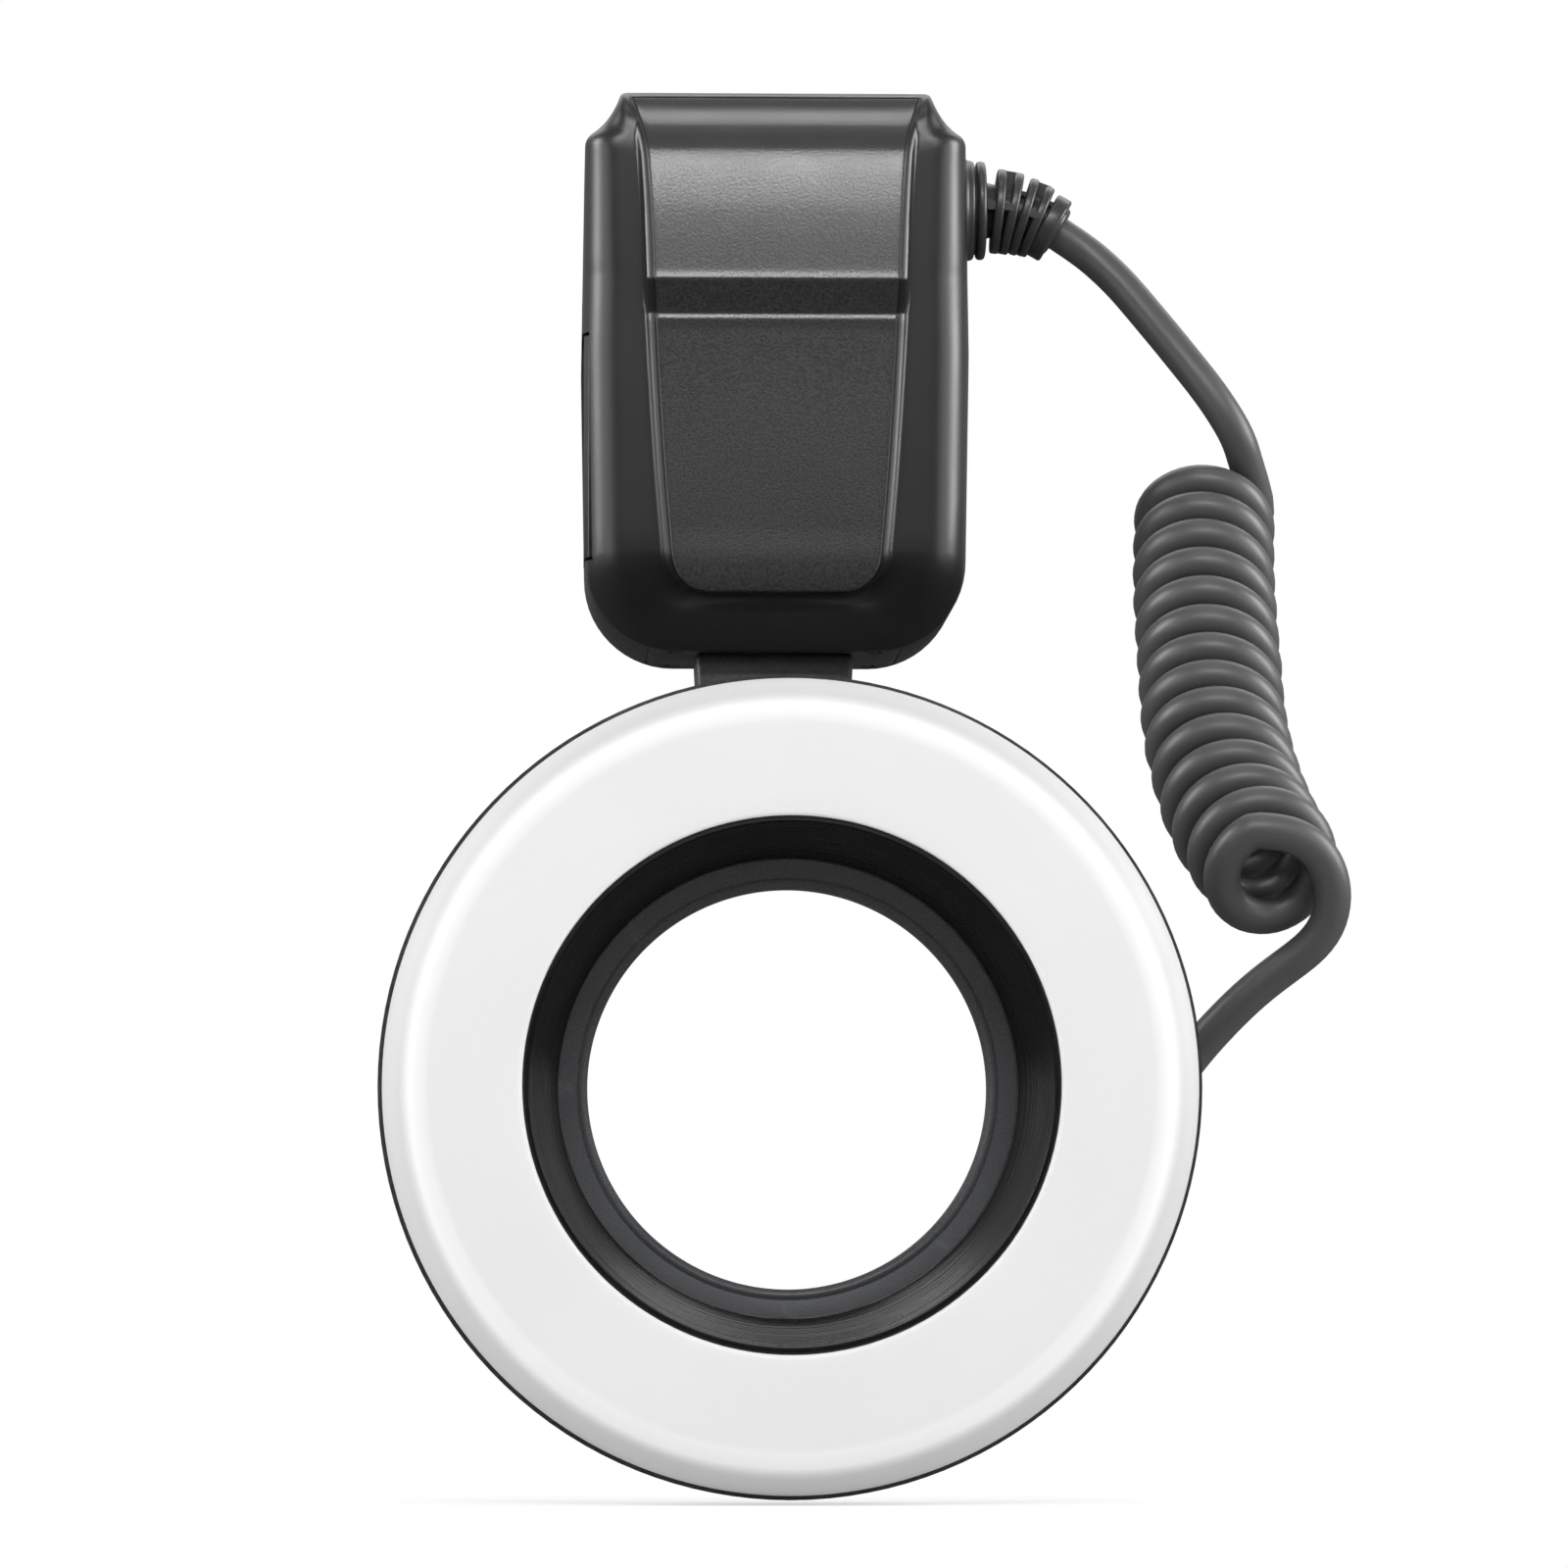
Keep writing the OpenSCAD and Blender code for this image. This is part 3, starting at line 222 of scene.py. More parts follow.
def layFloor():
    s = stageSetup
    h, z = s["floorSize"] / 2, s["floorZ"]
    mesh = meshFrom("studioFloor", [(-h, -h, z), (h, -h, z), (h, h, z), (-h, h, z)], [(0, 1, 2, 3)])
    floor = addObject("studioFloor", mesh)
    paper = bpy.data.materials.new("floorPaper")
    tree = clearTree(paper)
    # near the object the floor keeps its shadow, further out it runs into the white wall
    place = addNode(tree, "NewGeometry").outputs
    away = addNode(tree, "VectorMath")
    away.operation = "DISTANCE"
    away.inputs[1].default_value = Vector((*s["shadowSpot"], z)) * mm
    tree.links.new(place["Position"], away.inputs[0])
    white = stepNode(tree, away.outputs["Value"], *s["shadowReach"], 1 - s["shadowShare"], 1)
    straight, eye = seenByEye(tree, s["mirrorShare"])
    diffuse = addNode(tree, "LightPath").outputs["Is Diffuse Ray"]
    matt = addNode(tree, "BsdfDiffuse")
    paint = mixColor(tree, mathNode(tree, "MAXIMUM", straight, diffuse), s["bounceColor"], s["floorColor"])
    tree.links.new(paint, matt.inputs["Color"])
    lit = mathNode(tree, "MAXIMUM", times(tree, eye, white), times(tree, diffuse, s["bounceShare"]))
    top = mixShaders(tree, lit, matt.outputs[0], addNode(tree, "Emission").outputs[0])
    # seen from below, the floor isn't there
    both = mixShaders(tree, place["Backfacing"], top, addNode(tree, "BsdfTransparent").outputs[0])
    tree.links.new(both, addNode(tree, "OutputMaterial").inputs["Surface"])
    mesh.materials.append(paper)


placeCamera()
placeSoftBoxes()
makeWorld()
layFloor()
print("stage is set")

# finishes


def groupTree(name, inputs, outputs):
    # a label that says Color takes a color, any other a number
    tree = bpy.data.node_groups.new(name, "ShaderNodeTree")
    for way, labels in (("INPUT", inputs), ("OUTPUT", outputs)):
        for label in labels:
            kind = "Color" if "Color" in label else "Float"
            tree.interface.new_socket(label, in_out=way, socket_type="NodeSocket" + kind)
    return tree, tree.nodes.new("NodeGroupInput").outputs, tree.nodes.new("NodeGroupOutput").inputs


def noiseNode(tree, vector, scale, detail=2, rough=0.5):
    node = addNode(tree, "TexNoise")
    labels = ("Vector", "Scale", "Detail", "Roughness")
    for label, value in zip(labels, (vector, scale, detail, rough)):
        feed(tree, node.inputs[label], value)
    return node.outputs["Fac"]


def placeOf(tree):
    return addNode(tree, "TexCoord").outputs["Object"]


# noise: scale, detail, roughness; steps: from, to and the values there; lengths in metres
effectSetup = {
    "grainNoise": (3, 0.55), "pits": (0.36, 0.62),
    "markNoise": (55, 4, 0.6), "smear": (0.35, 0.68),
    "smoothFade": (0, 0.0012, 1, 0.12), "smoothGloss": 0.12,
    "raised": (0.515, 0.6), "rubNoise": (900, 3, 0.6), "rubBreaks": (0.4, 0.62),
    "upFacing": (0.35, 1), "dustNoise": (1600, 4, 0.7), "specks": (0.52, 0.75), "dustColor": (0.55, 0.54, 0.52),
    "linePitch": 2600, "lineWaver": 0.2, "lineSlope": -0.6, "waverNoise": (240, 2),
    "lineNoise": (0.37, 2, 0.7), "lineDepth": (0.3, 0.7, 0.2, 1),
    # the diffuser's bend, side and lip steps place a painted highlight and painted shade; the clouds are a random
    # tone
    "bendIn": (0.057, 0.0584), "bendOut": (0.0602, 0.0614, 1, 0), "paintedShadeSide": (0.0602, 0.0622),
    "paintedHighlightLip": (0.0426, 0.0436, 0.6, 0), "cloudNoise": (26, 3), "clouds": (0.3, 0.7, 0, 0.25),
}


def makeGrainGroup():
    # moulded skin: fine grain, soft handling marks and a little tone change, smoother above a height
    tree, given, made = groupTree(
        "mouldedSkin", ("Color", "Deep Color", "Grain", "Roughness", "Rough Change", "Tone Change", "Smooth From"),
        ("Color", "Roughness", "Height"))
    place, e = placeOf(tree), effectSetup
    over = mathNode(tree, "SUBTRACT", splitNode(tree, place)["Z"], given["Smooth From"])
    grained = stepNode(tree, over, *e["smoothFade"])
    grain = noiseNode(tree, place, given["Grain"], *e["grainNoise"])
    pits = stepNode(tree, grain, *e["pits"])
    smear = stepNode(tree, noiseNode(tree, place, *e["markNoise"]), *e["smear"])
    deep = times(tree, mathNode(tree, "SUBTRACT", 1, pits), given["Tone Change"], grained)
    tree.links.new(mixColor(tree, deep, given["Color"], given["Deep Color"]), made["Color"])
    swing = times(tree, mathNode(tree, "SUBTRACT", smear, 0.5), given["Rough Change"])
    gloss = mathNode(tree, "MULTIPLY_ADD", grained, e["smoothGloss"], -e["smoothGloss"])
    swing = mathNode(tree, "ADD", swing, gloss)
    tree.links.new(mathNode(tree, "ADD", given["Roughness"], swing), made["Roughness"])
    tree.links.new(times(tree, grain, grained), made["Height"])
    return tree


def makeRubGroup():
    # handling wear on raised edges
    tree, given, made = groupTree("edgeRub", ("Color", "Rub Color", "Amount"), ("Color",))
    e = effectSetup
    raised = stepNode(tree, addNode(tree, "NewGeometry").outputs["Pointiness"], *e["raised"])
    broken = stepNode(tree, noiseNode(tree, placeOf(tree), *e["rubNoise"]), *e["rubBreaks"])
    mask = times(tree, raised, broken, given["Amount"])
    tree.links.new(mixColor(tree, mask, given["Color"], given["Rub Color"]), made["Color"])
    return tree


def makeDustGroup():
    # thin dust that settles on faces that look up
    tree, given, made = groupTree("settledDust", ("Color", "Amount"), ("Color",))
    e = effectSetup
    up = stepNode(tree, splitNode(tree, addNode(tree, "NewGeometry").outputs["Normal"])["Z"], *e["upFacing"])
    specks = stepNode(tree, noiseNode(tree, placeOf(tree), *e["dustNoise"]), *e["specks"])
    mask = times(tree, up, specks, given["Amount"])
    tree.links.new(mixColor(tree, mask, given["Color"], e["dustColor"]), made["Color"])
    return tree


def makeTurnedGroup():
    # lathe lines round the lens axis
    tree, given, made = groupTree("turnedLines", ("Pitch", "Waver"), ("Height",))
    place, e = placeOf(tree), effectSetup
    slope = times(tree, splitNode(tree, place)["Y"], e["lineSlope"])
    reach = mathNode(tree, "ADD", lensReach(tree, place), slope)
    waver = times(tree, noiseNode(tree, place, *e["waverNoise"]), given["Waver"])
    turns = mathNode(tree, "ADD", times(tree, reach, given["Pitch"]), waver)
    along = addNode(tree, "CombineXYZ")
    tree.links.new(turns, along.inputs[0])
    deep = stepNode(tree, noiseNode(tree, along.outputs[0], *e["lineNoise"]), *e["lineDepth"])
    line = mathNode(tree, "PINGPONG", turns, 1)
    tree.links.new(times(tree, line, deep), made["Height"])
    return tree


def makePaintedMilkLightGroup():
    # milky wall: a random cloudy tone, with a painted highlight where it starts to bend and at its inner lip, and
    # painted shade where it turns away
    tree, given, made = groupTree("milkWallPaintedLight", ("Color", "Bend Color", "Side Color"), ("Color",))
    place, e = placeOf(tree), effectSetup
    reach = lensReach(tree, place)
    # painted highlight where the wall starts to bend and at its inner lip
    bend = times(tree, stepNode(tree, reach, *e["bendIn"]), stepNode(tree, reach, *e["bendOut"]))
    paintedHighlightMask = mathNode(tree, "MAXIMUM", bend, stepNode(tree, reach, *e["paintedHighlightLip"]))
    cloud = stepNode(tree, noiseNode(tree, place, *e["cloudNoise"]), *e["clouds"])
    color = mixColor(tree, cloud, given["Color"], given["Bend Color"])
    color = mixColor(tree, paintedHighlightMask, color, given["Bend Color"])
    # painted shade where the wall turns away from the light
    side = stepNode(tree, reach, *e["paintedShadeSide"])
    tree.links.new(mixColor(tree, side, color, given["Side Color"]), made["Color"])
    return tree


def lensReach(tree, place):
    # distance from the lens axis
    split = splitNode(tree, place)
    up = mathNode(tree, "ADD", split["Z"], -lensSetup["axisZ"] * mm)
    squares = [mathNode(tree, "POWER", part, 2) for part in (split["X"], up)]
    return mathNode(tree, "SQRT", mathNode(tree, "ADD", *squares))


skinGroup, rubGroup, dustGroup = makeGrainGroup(), makeRubGroup(), makeDustGroup()
turnedGroup, paintedMilkLightGroup = makeTurnedGroup(), makePaintedMilkLightGroup()

# color, deep color, roughness, grain mm, grain depth mm, edge wear, dust, and what else differs
finishTable = {
    "shell_plastic": ((0.008, 0.008, 0.0085), (0.006, 0.006, 0.0065), 0.37, 0.22, 0.004, 0.3, 0.02,
        {"change": 0.03, "specular": 0.62}),
    "panel_plastic": ((0.034, 0.034, 0.035), (0.014, 0.014, 0.015), 0.29, 0.42, 0.042, 0.3, 0.03,
        {"tone": 0.85, "change": 0.03, "specular": 0.8, "smoothFrom": 104}),
    "black_plastic": ((0.02, 0.02, 0.021), (0.012, 0.012, 0.013), 0.44, 0.25, 0.012, 0.35, 0.1, {}),
    "key_rubber": ((0.03, 0.03, 0.032), (0.02, 0.02, 0.021), 0.62, 0.18, 0.008, 0.45, 0.12, {}),
    "dial_plastic": ((0.024, 0.024, 0.026), (0.014, 0.014, 0.015), 0.36, 0.2, 0.008, 0.5, 0.1, {}),
    "test_plastic": ((0.55, 0.12, 0.045), (0.4, 0.08, 0.03), 0.35, 0.3, 0.006, 0.25, 0.05, {}),
    "cord_rubber": ((0.06, 0.06, 0.061), (0.048, 0.048, 0.049), 0.42, 0.35, 0.002, 0, 0, {"change": 0.06}),
    "boot_rubber": ((0.03, 0.03, 0.031), (0.02, 0.02, 0.021), 0.36, 0.3, 0.01, 0.3, 0.04, {}),
    # the diffuser's bend colour is a painted highlight and its side colour is painted shade
    "diffuser_white": ((0.68, 0.68, 0.68), (0.66, 0.66, 0.66), 0.55, 1.6, 0.003, 0, 0,
        {"tone": 0.15, "bend": (0.74, 0.74, 0.74), "side": (0.5, 0.5, 0.505), "specular": 0.25}),
    "bezel_black": ((0.004, 0.004, 0.004), (0.0025, 0.0025, 0.0025), 0.3, 0.2, 0.002, 0.2, 0,
        {"lines": 0.07, "specular": 0.35}),
    "adapter_metal": ((0.075, 0.077, 0.081), (0.044, 0.045, 0.048), 0.42, 0.3, 0.024, 0.3, 0.04,
        {"tone": 0.8, "metallic": 0.25}),
    "steel": ((0.56, 0.56, 0.57), (0.42, 0.42, 0.43), 0.3, 0.3, 0.003, 0.2, 0.02, {"metallic": 1}),
    "black_steel": ((0.02, 0.02, 0.021), (0.012, 0.012, 0.013), 0.34, 0.3, 0.003, 0.5, 0.02, {"metallic": 0.6}),
    "contact_gold": ((0.78, 0.58, 0.26), (0.62, 0.44, 0.18), 0.26, 0.3, 0.002, 0.2, 0, {"metallic": 1}),
    "board_green": ((0.02, 0.105, 0.05), (0.012, 0.07, 0.034), 0.34, 1.2, 0.01, 0.15, 0.02, {}),
    "reflector_metal": ((0.8, 0.8, 0.8), (0.68, 0.68, 0.69), 0.22, 0.9, 0.006, 0.1, 0, {"metallic": 1}),
    "tube_glass": ((0.92, 0.95, 0.95), (0.86, 0.9, 0.9), 0.06, 4, 0.001, 0, 0, {"glass": 0.9}),
    "lamp_resin": ((0.8, 0.72, 0.42), (0.74, 0.64, 0.3), 0.25, 0.5, 0.004, 0, 0, {}),
    "lcd_grey": ((0.26, 0.29, 0.26), (0.22, 0.25, 0.22), 0.4, 0.25, 0.002, 0, 0, {}),
    "window_glass": ((0.55, 0.57, 0.58), (0.5, 0.52, 0.53), 0.05, 5, 0.0005, 0, 0.03, {"glass": 0.85}),
    "capacitor_sleeve": ((0.016, 0.018, 0.03), (0.01, 0.011, 0.02), 0.22, 1.5, 0.01, 0.1, 0.02, {}),
    "clip_plastic": ((0.62, 0.61, 0.57), (0.52, 0.51, 0.47), 0.5, 0.3, 0.006, 0.1, 0, {}),
    "jack_plastic": ((0.014, 0.014, 0.015), (0.008, 0.008, 0.009), 0.35, 0.25, 0.006, 0.2, 0.02, {}),
}


def placeGroup(tree, group, **values):
    node = addNode(tree, "Group")
    node.node_tree = group
    for label, value in values.items():
        feed(tree, node.inputs[label.replace("_", " ")], value)
    return node.outputs


def bumpNode(tree, height, depth):
    node = addNode(tree, "Bump")
    node.inputs["Distance"].default_value = depth * mm
    tree.links.new(height, node.inputs["Height"])
    return node


def makeFinish(name, color, deep, rough, grain, depth, rub, dust, extra):
    material = bpy.data.materials.new(name + "_finish")
    tree = clearTree(material)
    shader = addNode(tree, "BsdfPrincipled")
    skin = placeGroup(tree, skinGroup, Color=color, Deep_Color=deep, Grain=1000.0 / grain, Roughness=rough,
                      Rough_Change=extra.get("change", 0.12), Tone_Change=extra.get("tone", 0.4),
                      Smooth_From=extra.get("smoothFrom", 1000) * mm)
    tint = skin["Color"]
    # painted highlight and painted shade on the milky wall
    if "bend" in extra:
        tint = placeGroup(tree, paintedMilkLightGroup, Color=tint, Bend_Color=extra["bend"], Side_Color=extra["side"])["Color"]
    if rub > 0:
        pale = tuple(min(1, channel * 1.7 + 0.02) for channel in color)
        tint = placeGroup(tree, rubGroup, Color=tint, Rub_Color=pale, Amount=rub)["Color"]
    if dust > 0:
        tint = placeGroup(tree, dustGroup, Color=tint, Amount=dust)["Color"]
    bump = bumpNode(tree, skin["Height"], depth)
    if "lines" in extra:
        turned = placeGroup(tree, turnedGroup, Pitch=effectSetup["linePitch"], Waver=effectSetup["lineWaver"])
        cuts = bumpNode(tree, turned["Height"], extra["lines"])
        tree.links.new(bump.outputs[0], cuts.inputs["Normal"])
        bump = cuts
    tree.links.new(tint, shader.inputs["Base Color"])
    tree.links.new(skin["Roughness"], shader.inputs["Roughness"])
    tree.links.new(bump.outputs[0], shader.inputs["Normal"])
    shader.inputs["Metallic"].default_value = extra.get("metallic", 0)
    shader.inputs["Specular IOR Level"].default_value = extra.get("specular", 0.5)
    shader.inputs["Transmission Weight"].default_value = extra.get("glass", 0)
    tree.links.new(shader.outputs[0], addNode(tree, "OutputMaterial").inputs["Surface"])
    return material


finishes = {name: makeFinish(name, *row) for name, row in finishTable.items()}
slotOfNode = {part["node"]: part["material_slot"] for part in frame["record"]["subparts"]}
bodyOfNode = {node: body for body, nodes in frame["record"]["behaviour"]["bodies"].items() for node in nodes}
for node, piece in frame["nodes"].items():
    piece.data.materials.clear()
    piece.data.materials.append(finishes[slotOfNode[node]])
print("finishes made:", len(finishes))

# mesh helpers


def eased(u, low=0, high=1):
    u = min(max((u - low) / (high - low), 0), 1)
    return u * u * (3 - 2 * u)


def turnOut(mesh):
    # every face looks outwards
    shape = bmesh.new()
    shape.from_mesh(mesh)
    bmesh.ops.recalc_face_normals(shape, faces=shape.faces)
    shape.to_mesh(mesh)
    shape.free()


def gridFaces(rows, columns, roundRows=False, roundColumns=True):
    # four-sided faces between rows of points, closed round where asked
    faces = []
    for k in range(rows if roundRows else rows - 1):
        a, b = k * columns, (k + 1) % rows * columns
        for j in range(columns if roundColumns else columns - 1):
            i = (j + 1) % columns
            faces.append((a + j, a + i, b + i, b + j))
    return faces


def tubeFaces(rows, n):
    # rows of n points round a tube, closed at both ends
    last = (rows - 1) * n
    return gridFaces(rows, n) + [tuple(range(n))[::-1], tuple(range(last, last + n))]


def addPiece(name, shape, replaced, smooth, slotName=None):
    mesh = meshFrom(name, *shape)
    mesh.validate()
    return settle(mesh, name, replaced, smooth, slotName)


def settle(mesh, name, replaced, smooth, slotName=None):
    # goes with the body of the nodes that it stands for, and with their slot where none is given
    body, slotName = bodyOfNode[replaced[0]], slotName or slotOfNode[replaced[0]]
    turnOut(mesh)
    mesh.shade_smooth()
    mesh.set_sharp_from_angle(angle=math.radians(smooth))
    mesh.materials.clear()
    mesh.materials.append(finishes[slotName])
    piece = addObject(name, mesh)
    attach(piece, body)
    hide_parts(*replaced)
    return piece


def cutterFrom(points, faces):
    mesh = meshFrom("cutter", points, faces)
    turnOut(mesh)
    return addObject("cutter", mesh)


def boxCutter(x0, y0, z0, x1, y1, z1):
    points = [(x, y, z) for x in (x0, x1) for y in (y0, y1) for z in (z0, z1)]
    return cutterFrom(points, [(0, 1, 3, 2), (4, 6, 7, 5), (0, 4, 5, 1), (2, 3, 7, 6), (0, 2, 6, 4), (1, 5, 7, 3)])


def prismCutter(near, far):
    # between two loops of as many points
    return cutterFrom([*near, *far], tubeFaces(2, len(near)))


def rodCutter(center, axis, radius, length, sides=64):
    center, axis = Vector(center), Vector(axis).normalized()
    across = axis.orthogonal().normalized()
    over = axis.cross(across)
    turns = [2 * math.pi * k / sides for k in range(sides)]
    ring = [across * math.cos(a) + over * math.sin(a) for a in turns]
    return prismCutter([center + r * radius for r in ring], [center + axis * length + r * radius for r in ring])


def loopCutter(loop, y0, y1):
    return prismCutter([(x, y0, z) for x, z in loop], [(x, y1, z) for x, z in loop])


def carve(block, cutters, name):
    # cuts the block and returns the cut mesh
    for cutter in cutters:
        step = block.modifiers.new("cut", "BOOLEAN")
        step.operation = "DIFFERENCE"
        step.solver = "MANIFOLD"
        step.object = cutter
    ready = block.evaluated_get(bpy.context.evaluated_depsgraph_get())
    mesh = bpy.data.meshes.new_from_object(ready)
    mesh.name = name
    for spare in [block, *cutters]:
        bpy.data.objects.remove(spare)
    return mesh


softSetup = {"segments": 2, "sharp": 32, "flat": 0.6, "merge": 1e-6, "smooth": 50}


def softCopy(node, width, cutters=(), lift=0):
    # the node's own shape with its edges eased, cut or lifted a little first where asked
    s = softSetup
    mesh = frame["nodes"][node].data.copy()
    shape = bmesh.new()
    shape.from_mesh(mesh)
    bmesh.ops.remove_doubles(shape, verts=shape.verts, dist=s["merge"])
    bmesh.ops.translate(shape, vec=Vector((0, 0, lift)) * mm, verts=shape.verts)
    if cutters:
        shape.to_mesh(mesh)
        mesh = carve(addObject("block", mesh), cutters, node)
        shape.clear()
        shape.from_mesh(mesh)
    bmesh.ops.dissolve_limit(shape, angle_limit=math.radians(s["flat"]), verts=shape.verts, edges=shape.edges)
    bmesh.ops.recalc_face_normals(shape, faces=shape.faces)
    sharp = math.radians(s["sharp"])
    edges = [e for e in shape.edges if len(e.link_faces) == 2 and e.calc_face_angle(0) > sharp]
    bmesh.ops.bevel(shape, geom=edges, offset=width * mm, offset_type="OFFSET", segments=s["segments"], profile=0.5,
                    affect="EDGES", clamp_overlap=True)
    shape.to_mesh(mesh)
    shape.free()
    return settle(mesh, node + "_eased", (node,), s["smooth"])


def lathe(profile):
    # closed profile of (r, h) round the lens axis
    y, z, segments = lensSetup["backY"], lensSetup["axisZ"], lensSetup["segments"]
    turns = [2 * math.pi * k / segments for k in range(segments)]
    points = [(r * math.cos(a), y - h, z + r * math.sin(a)) for a in turns for r, h in profile]
    return points, gridFaces(segments, len(profile), True)


def spinProfile(spot, along, profile, segments):
    # profile of (distance along, radius) round an axis, closed at both ends
    along = Vector(along).normalized()
    side = Vector((0, 1, 0))
    side = (side - along * side.dot(along)).normalized()
    over = along.cross(side)
    points, n = [], len(profile)
    for k in range(segments):
        a = 2 * math.pi * k / segments
        out = math.cos(a) * side + math.sin(a) * over
        points += [Vector(spot) + along * s + out * r for s, r in profile]
    ends = [tuple(k * n for k in range(segments))[::-1], tuple(k * n + n - 1 for k in range(segments))]
    return points, gridFaces(segments, n, True, False) + ends


def sweepTube(path, radius, sides):
    # tube round a line of points, carried along without twist
    path = [Vector(p) for p in path]
    radii = [radius] * len(path) if isinstance(radius, (int, float)) else radius
    points, side = [], None
    for k, p in enumerate(path):
        along = (path[min(k + 1, len(path) - 1)] - path[max(k - 1, 0)]).normalized()
        side = along.orthogonal() if side is None else side - along * side.dot(along)
        side = side.normalized()
        over = along.cross(side)
        for s in range(sides):
            a = 2 * math.pi * s / sides
            points.append(p + radii[k] * (math.cos(a) * side + math.sin(a) * over))
    return points, tubeFaces(len(path), sides)


# cord: the solids' route, a little further out where the photo shows it so

cordSetup = {
    "diameter": 6, "turns": 14, "radius": 9.3, "stepsPerTurn": 40, "sides": 24,
    "axis": [(74.5, -4, 46), (73, -19.5, 31.5), (72.5, -35, 16.5), (72.5, -50, 2), (75, -66, -12), (80, -83, -23.5)],
    "leanTop": (0, -0.74, -0.67), "leanLow": (0.16, -0.9, -0.4), "leanFrom": 0.45,
    "rise": 0.12,  # how far it climbs along the coil
    "leadTilt": 0.33,
    "swell": (0.2, 0.6),  # wider at the start, over how many turns
    "shrink": (0.2, 11),  # narrower for each turn, from which turn
    "swing": (9, 13.5),  # wider at the end, from which turn
    "tail": 6, "blend": 2,  # straight ends, and how far a lead aims past them
    "leadSteps": 36, "leadSpan": (-52, -3), "leadPasses": 40, "softPasses": 4, "spacing": 1.25,
    "bootTip": (49.1088, 0, 94.054), "bootOut": (0.838671, 0, -0.544639),
    "ringTip": (60, -75, -60), "ringOut": (0.540449, 0.225187, 0.810674),
    "upper": [(59.7, -2.3, 85.2), (65.2, -5.5, 78.1), (70.4, -8.8, 71), (75.4, -11.2, 64), (79.4, -11.3, 57.4)],
    "lower": [(66.4, -74, -50.6), (70, -75, -46.8), (74.6, -76, -41.8), (79.8, -77, -37.6), (85.6, -78, -33.9)],
}


def splinePoint(points, u):
    n = len(points) - 1
    k = min(int(u * n), n - 1)
    t = u * n - k
    b, c = Vector(points[k]), Vector(points[k + 1])
    a = Vector(points[k - 1]) if k > 0 else 2 * b - c
    d = Vector(points[k + 2]) if k + 2 <= n else 2 * c - b
    return 0.5 * (2 * b + (c - a) * t + (2 * a - 5 * b + 4 * c - d) * t * t + (3 * b - a - 3 * c + d) * t ** 3)


def coilAt(turn):
    # point on the coil, and which way it runs there
    c = cordSetup
    u, a = turn / c["turns"], 2 * math.pi * turn
    w = eased(u, c["leanFrom"])
    lean = (Vector(c["leanTop"]) * (1 - w) + Vector(c["leanLow"]) * w).normalized()
    side = (Vector((1, 0, 0)) - lean.x * lean).normalized()
    down = side.cross(lean)
    (swell, within), (shrink, late), (swing, last) = c["swell"], c["shrink"], c["swing"]
    radius = c["radius"] + swell * max(1 - turn / within, 0) ** 2 - shrink * max(turn - late, 0)
    radius += swing * max(turn - last, 0) ** 2
    spot = splinePoint(c["axis"], u) + radius * (math.cos(a) * side + math.sin(a) * down)
    return spot, (math.cos(a) * down - math.sin(a) * side + c["rise"] * lean).normalized()


def cordRoute():
    c = cordSetup
    turns, tail, blend, count = c["turns"], c["tail"], c["blend"], c["leadSteps"]
    (first, lead), (last, leave) = coilAt(0), coilAt(turns)
    lead = (lead + Vector((c["leadTilt"], 0, 0))).normalized()
    coilStart, coilEnd = first - tail * lead, last + tail * leave
    bootTip, ringTip = Vector(c["bootTip"]), Vector(c["ringTip"])
    upper = [bootTip + tail * Vector(c["bootOut"]), *c["upper"], coilStart - blend * lead]
    lower = [ringTip + tail * Vector(c["ringOut"]), *c["lower"], coilEnd + blend * leave]
    steps = turns * c["stepsPerTurn"]
    route = [bootTip] + [splinePoint(upper, k / count) for k in range(count + 1)] + [coilStart]
    route += [coilAt(turns * k / steps)[0] for k in range(steps + 1)]
    route += [coilEnd] + [splinePoint(lower, 1 - k / count) for k in range(count + 1)] + [ringTip]
    line = np.array([tuple(p) for p in route])
    for k in range(c["softPasses"]):
        inner = (line[:-2] + 2 * line[1:-1] + line[2:]) / 4
        line[1:-1] = inner * 0.5 + line[1:-1] * 0.5
    # the lead to the ring bends softly
    i, j = c["leadSpan"]
    for k in range(c["leadPasses"]):
        line[i:j] = (line[i - 1:j - 1] + 2 * line[i:j] + line[i + 1:j + 1]) / 4
    # even steps along the line
    reach = np.concatenate([[0], np.cumsum(np.linalg.norm(np.diff(line, axis=0), axis=1))])
    even = np.linspace(0, reach[-1], int(reach[-1] / c["spacing"]))
    return np.stack([np.interp(even, reach, line[:, axis]) for axis in range(3)], 1)


def makeCord():
    route = cordRoute()
    tube = sweepTube(route, cordSetup["diameter"] / 2, cordSetup["sides"])
    piece = addPiece("curly_cord", tube, ("cord_upper", "cord_coil", "cord_lower"), 60)


makeCord()

# control unit housing

unitSetup = {
    "baseZ": 19.5, "topZ": 115.4, "lowHalf": 32.55, "midHalf": 33.15, "topHalf": 32.6,
    "cornerR": 15.5, "cove": (38.3, 118.2), "coveR": 12.2, "lipR": 2.5, "topR": 1.2, "wall": 2,
    "splitY": 4, "seam": 0.28, "valleyY": -23.1, "rearY": 26, "rearRoll": 6,
    "flank": 1.9, "bead": 2.2, "panelZ": 29.1, "panelR": 6.6, "panelTopZ": 114.5,
    "panelLow": 17.9, "panelFit": 0.06, "sideTopZ": 104,
}
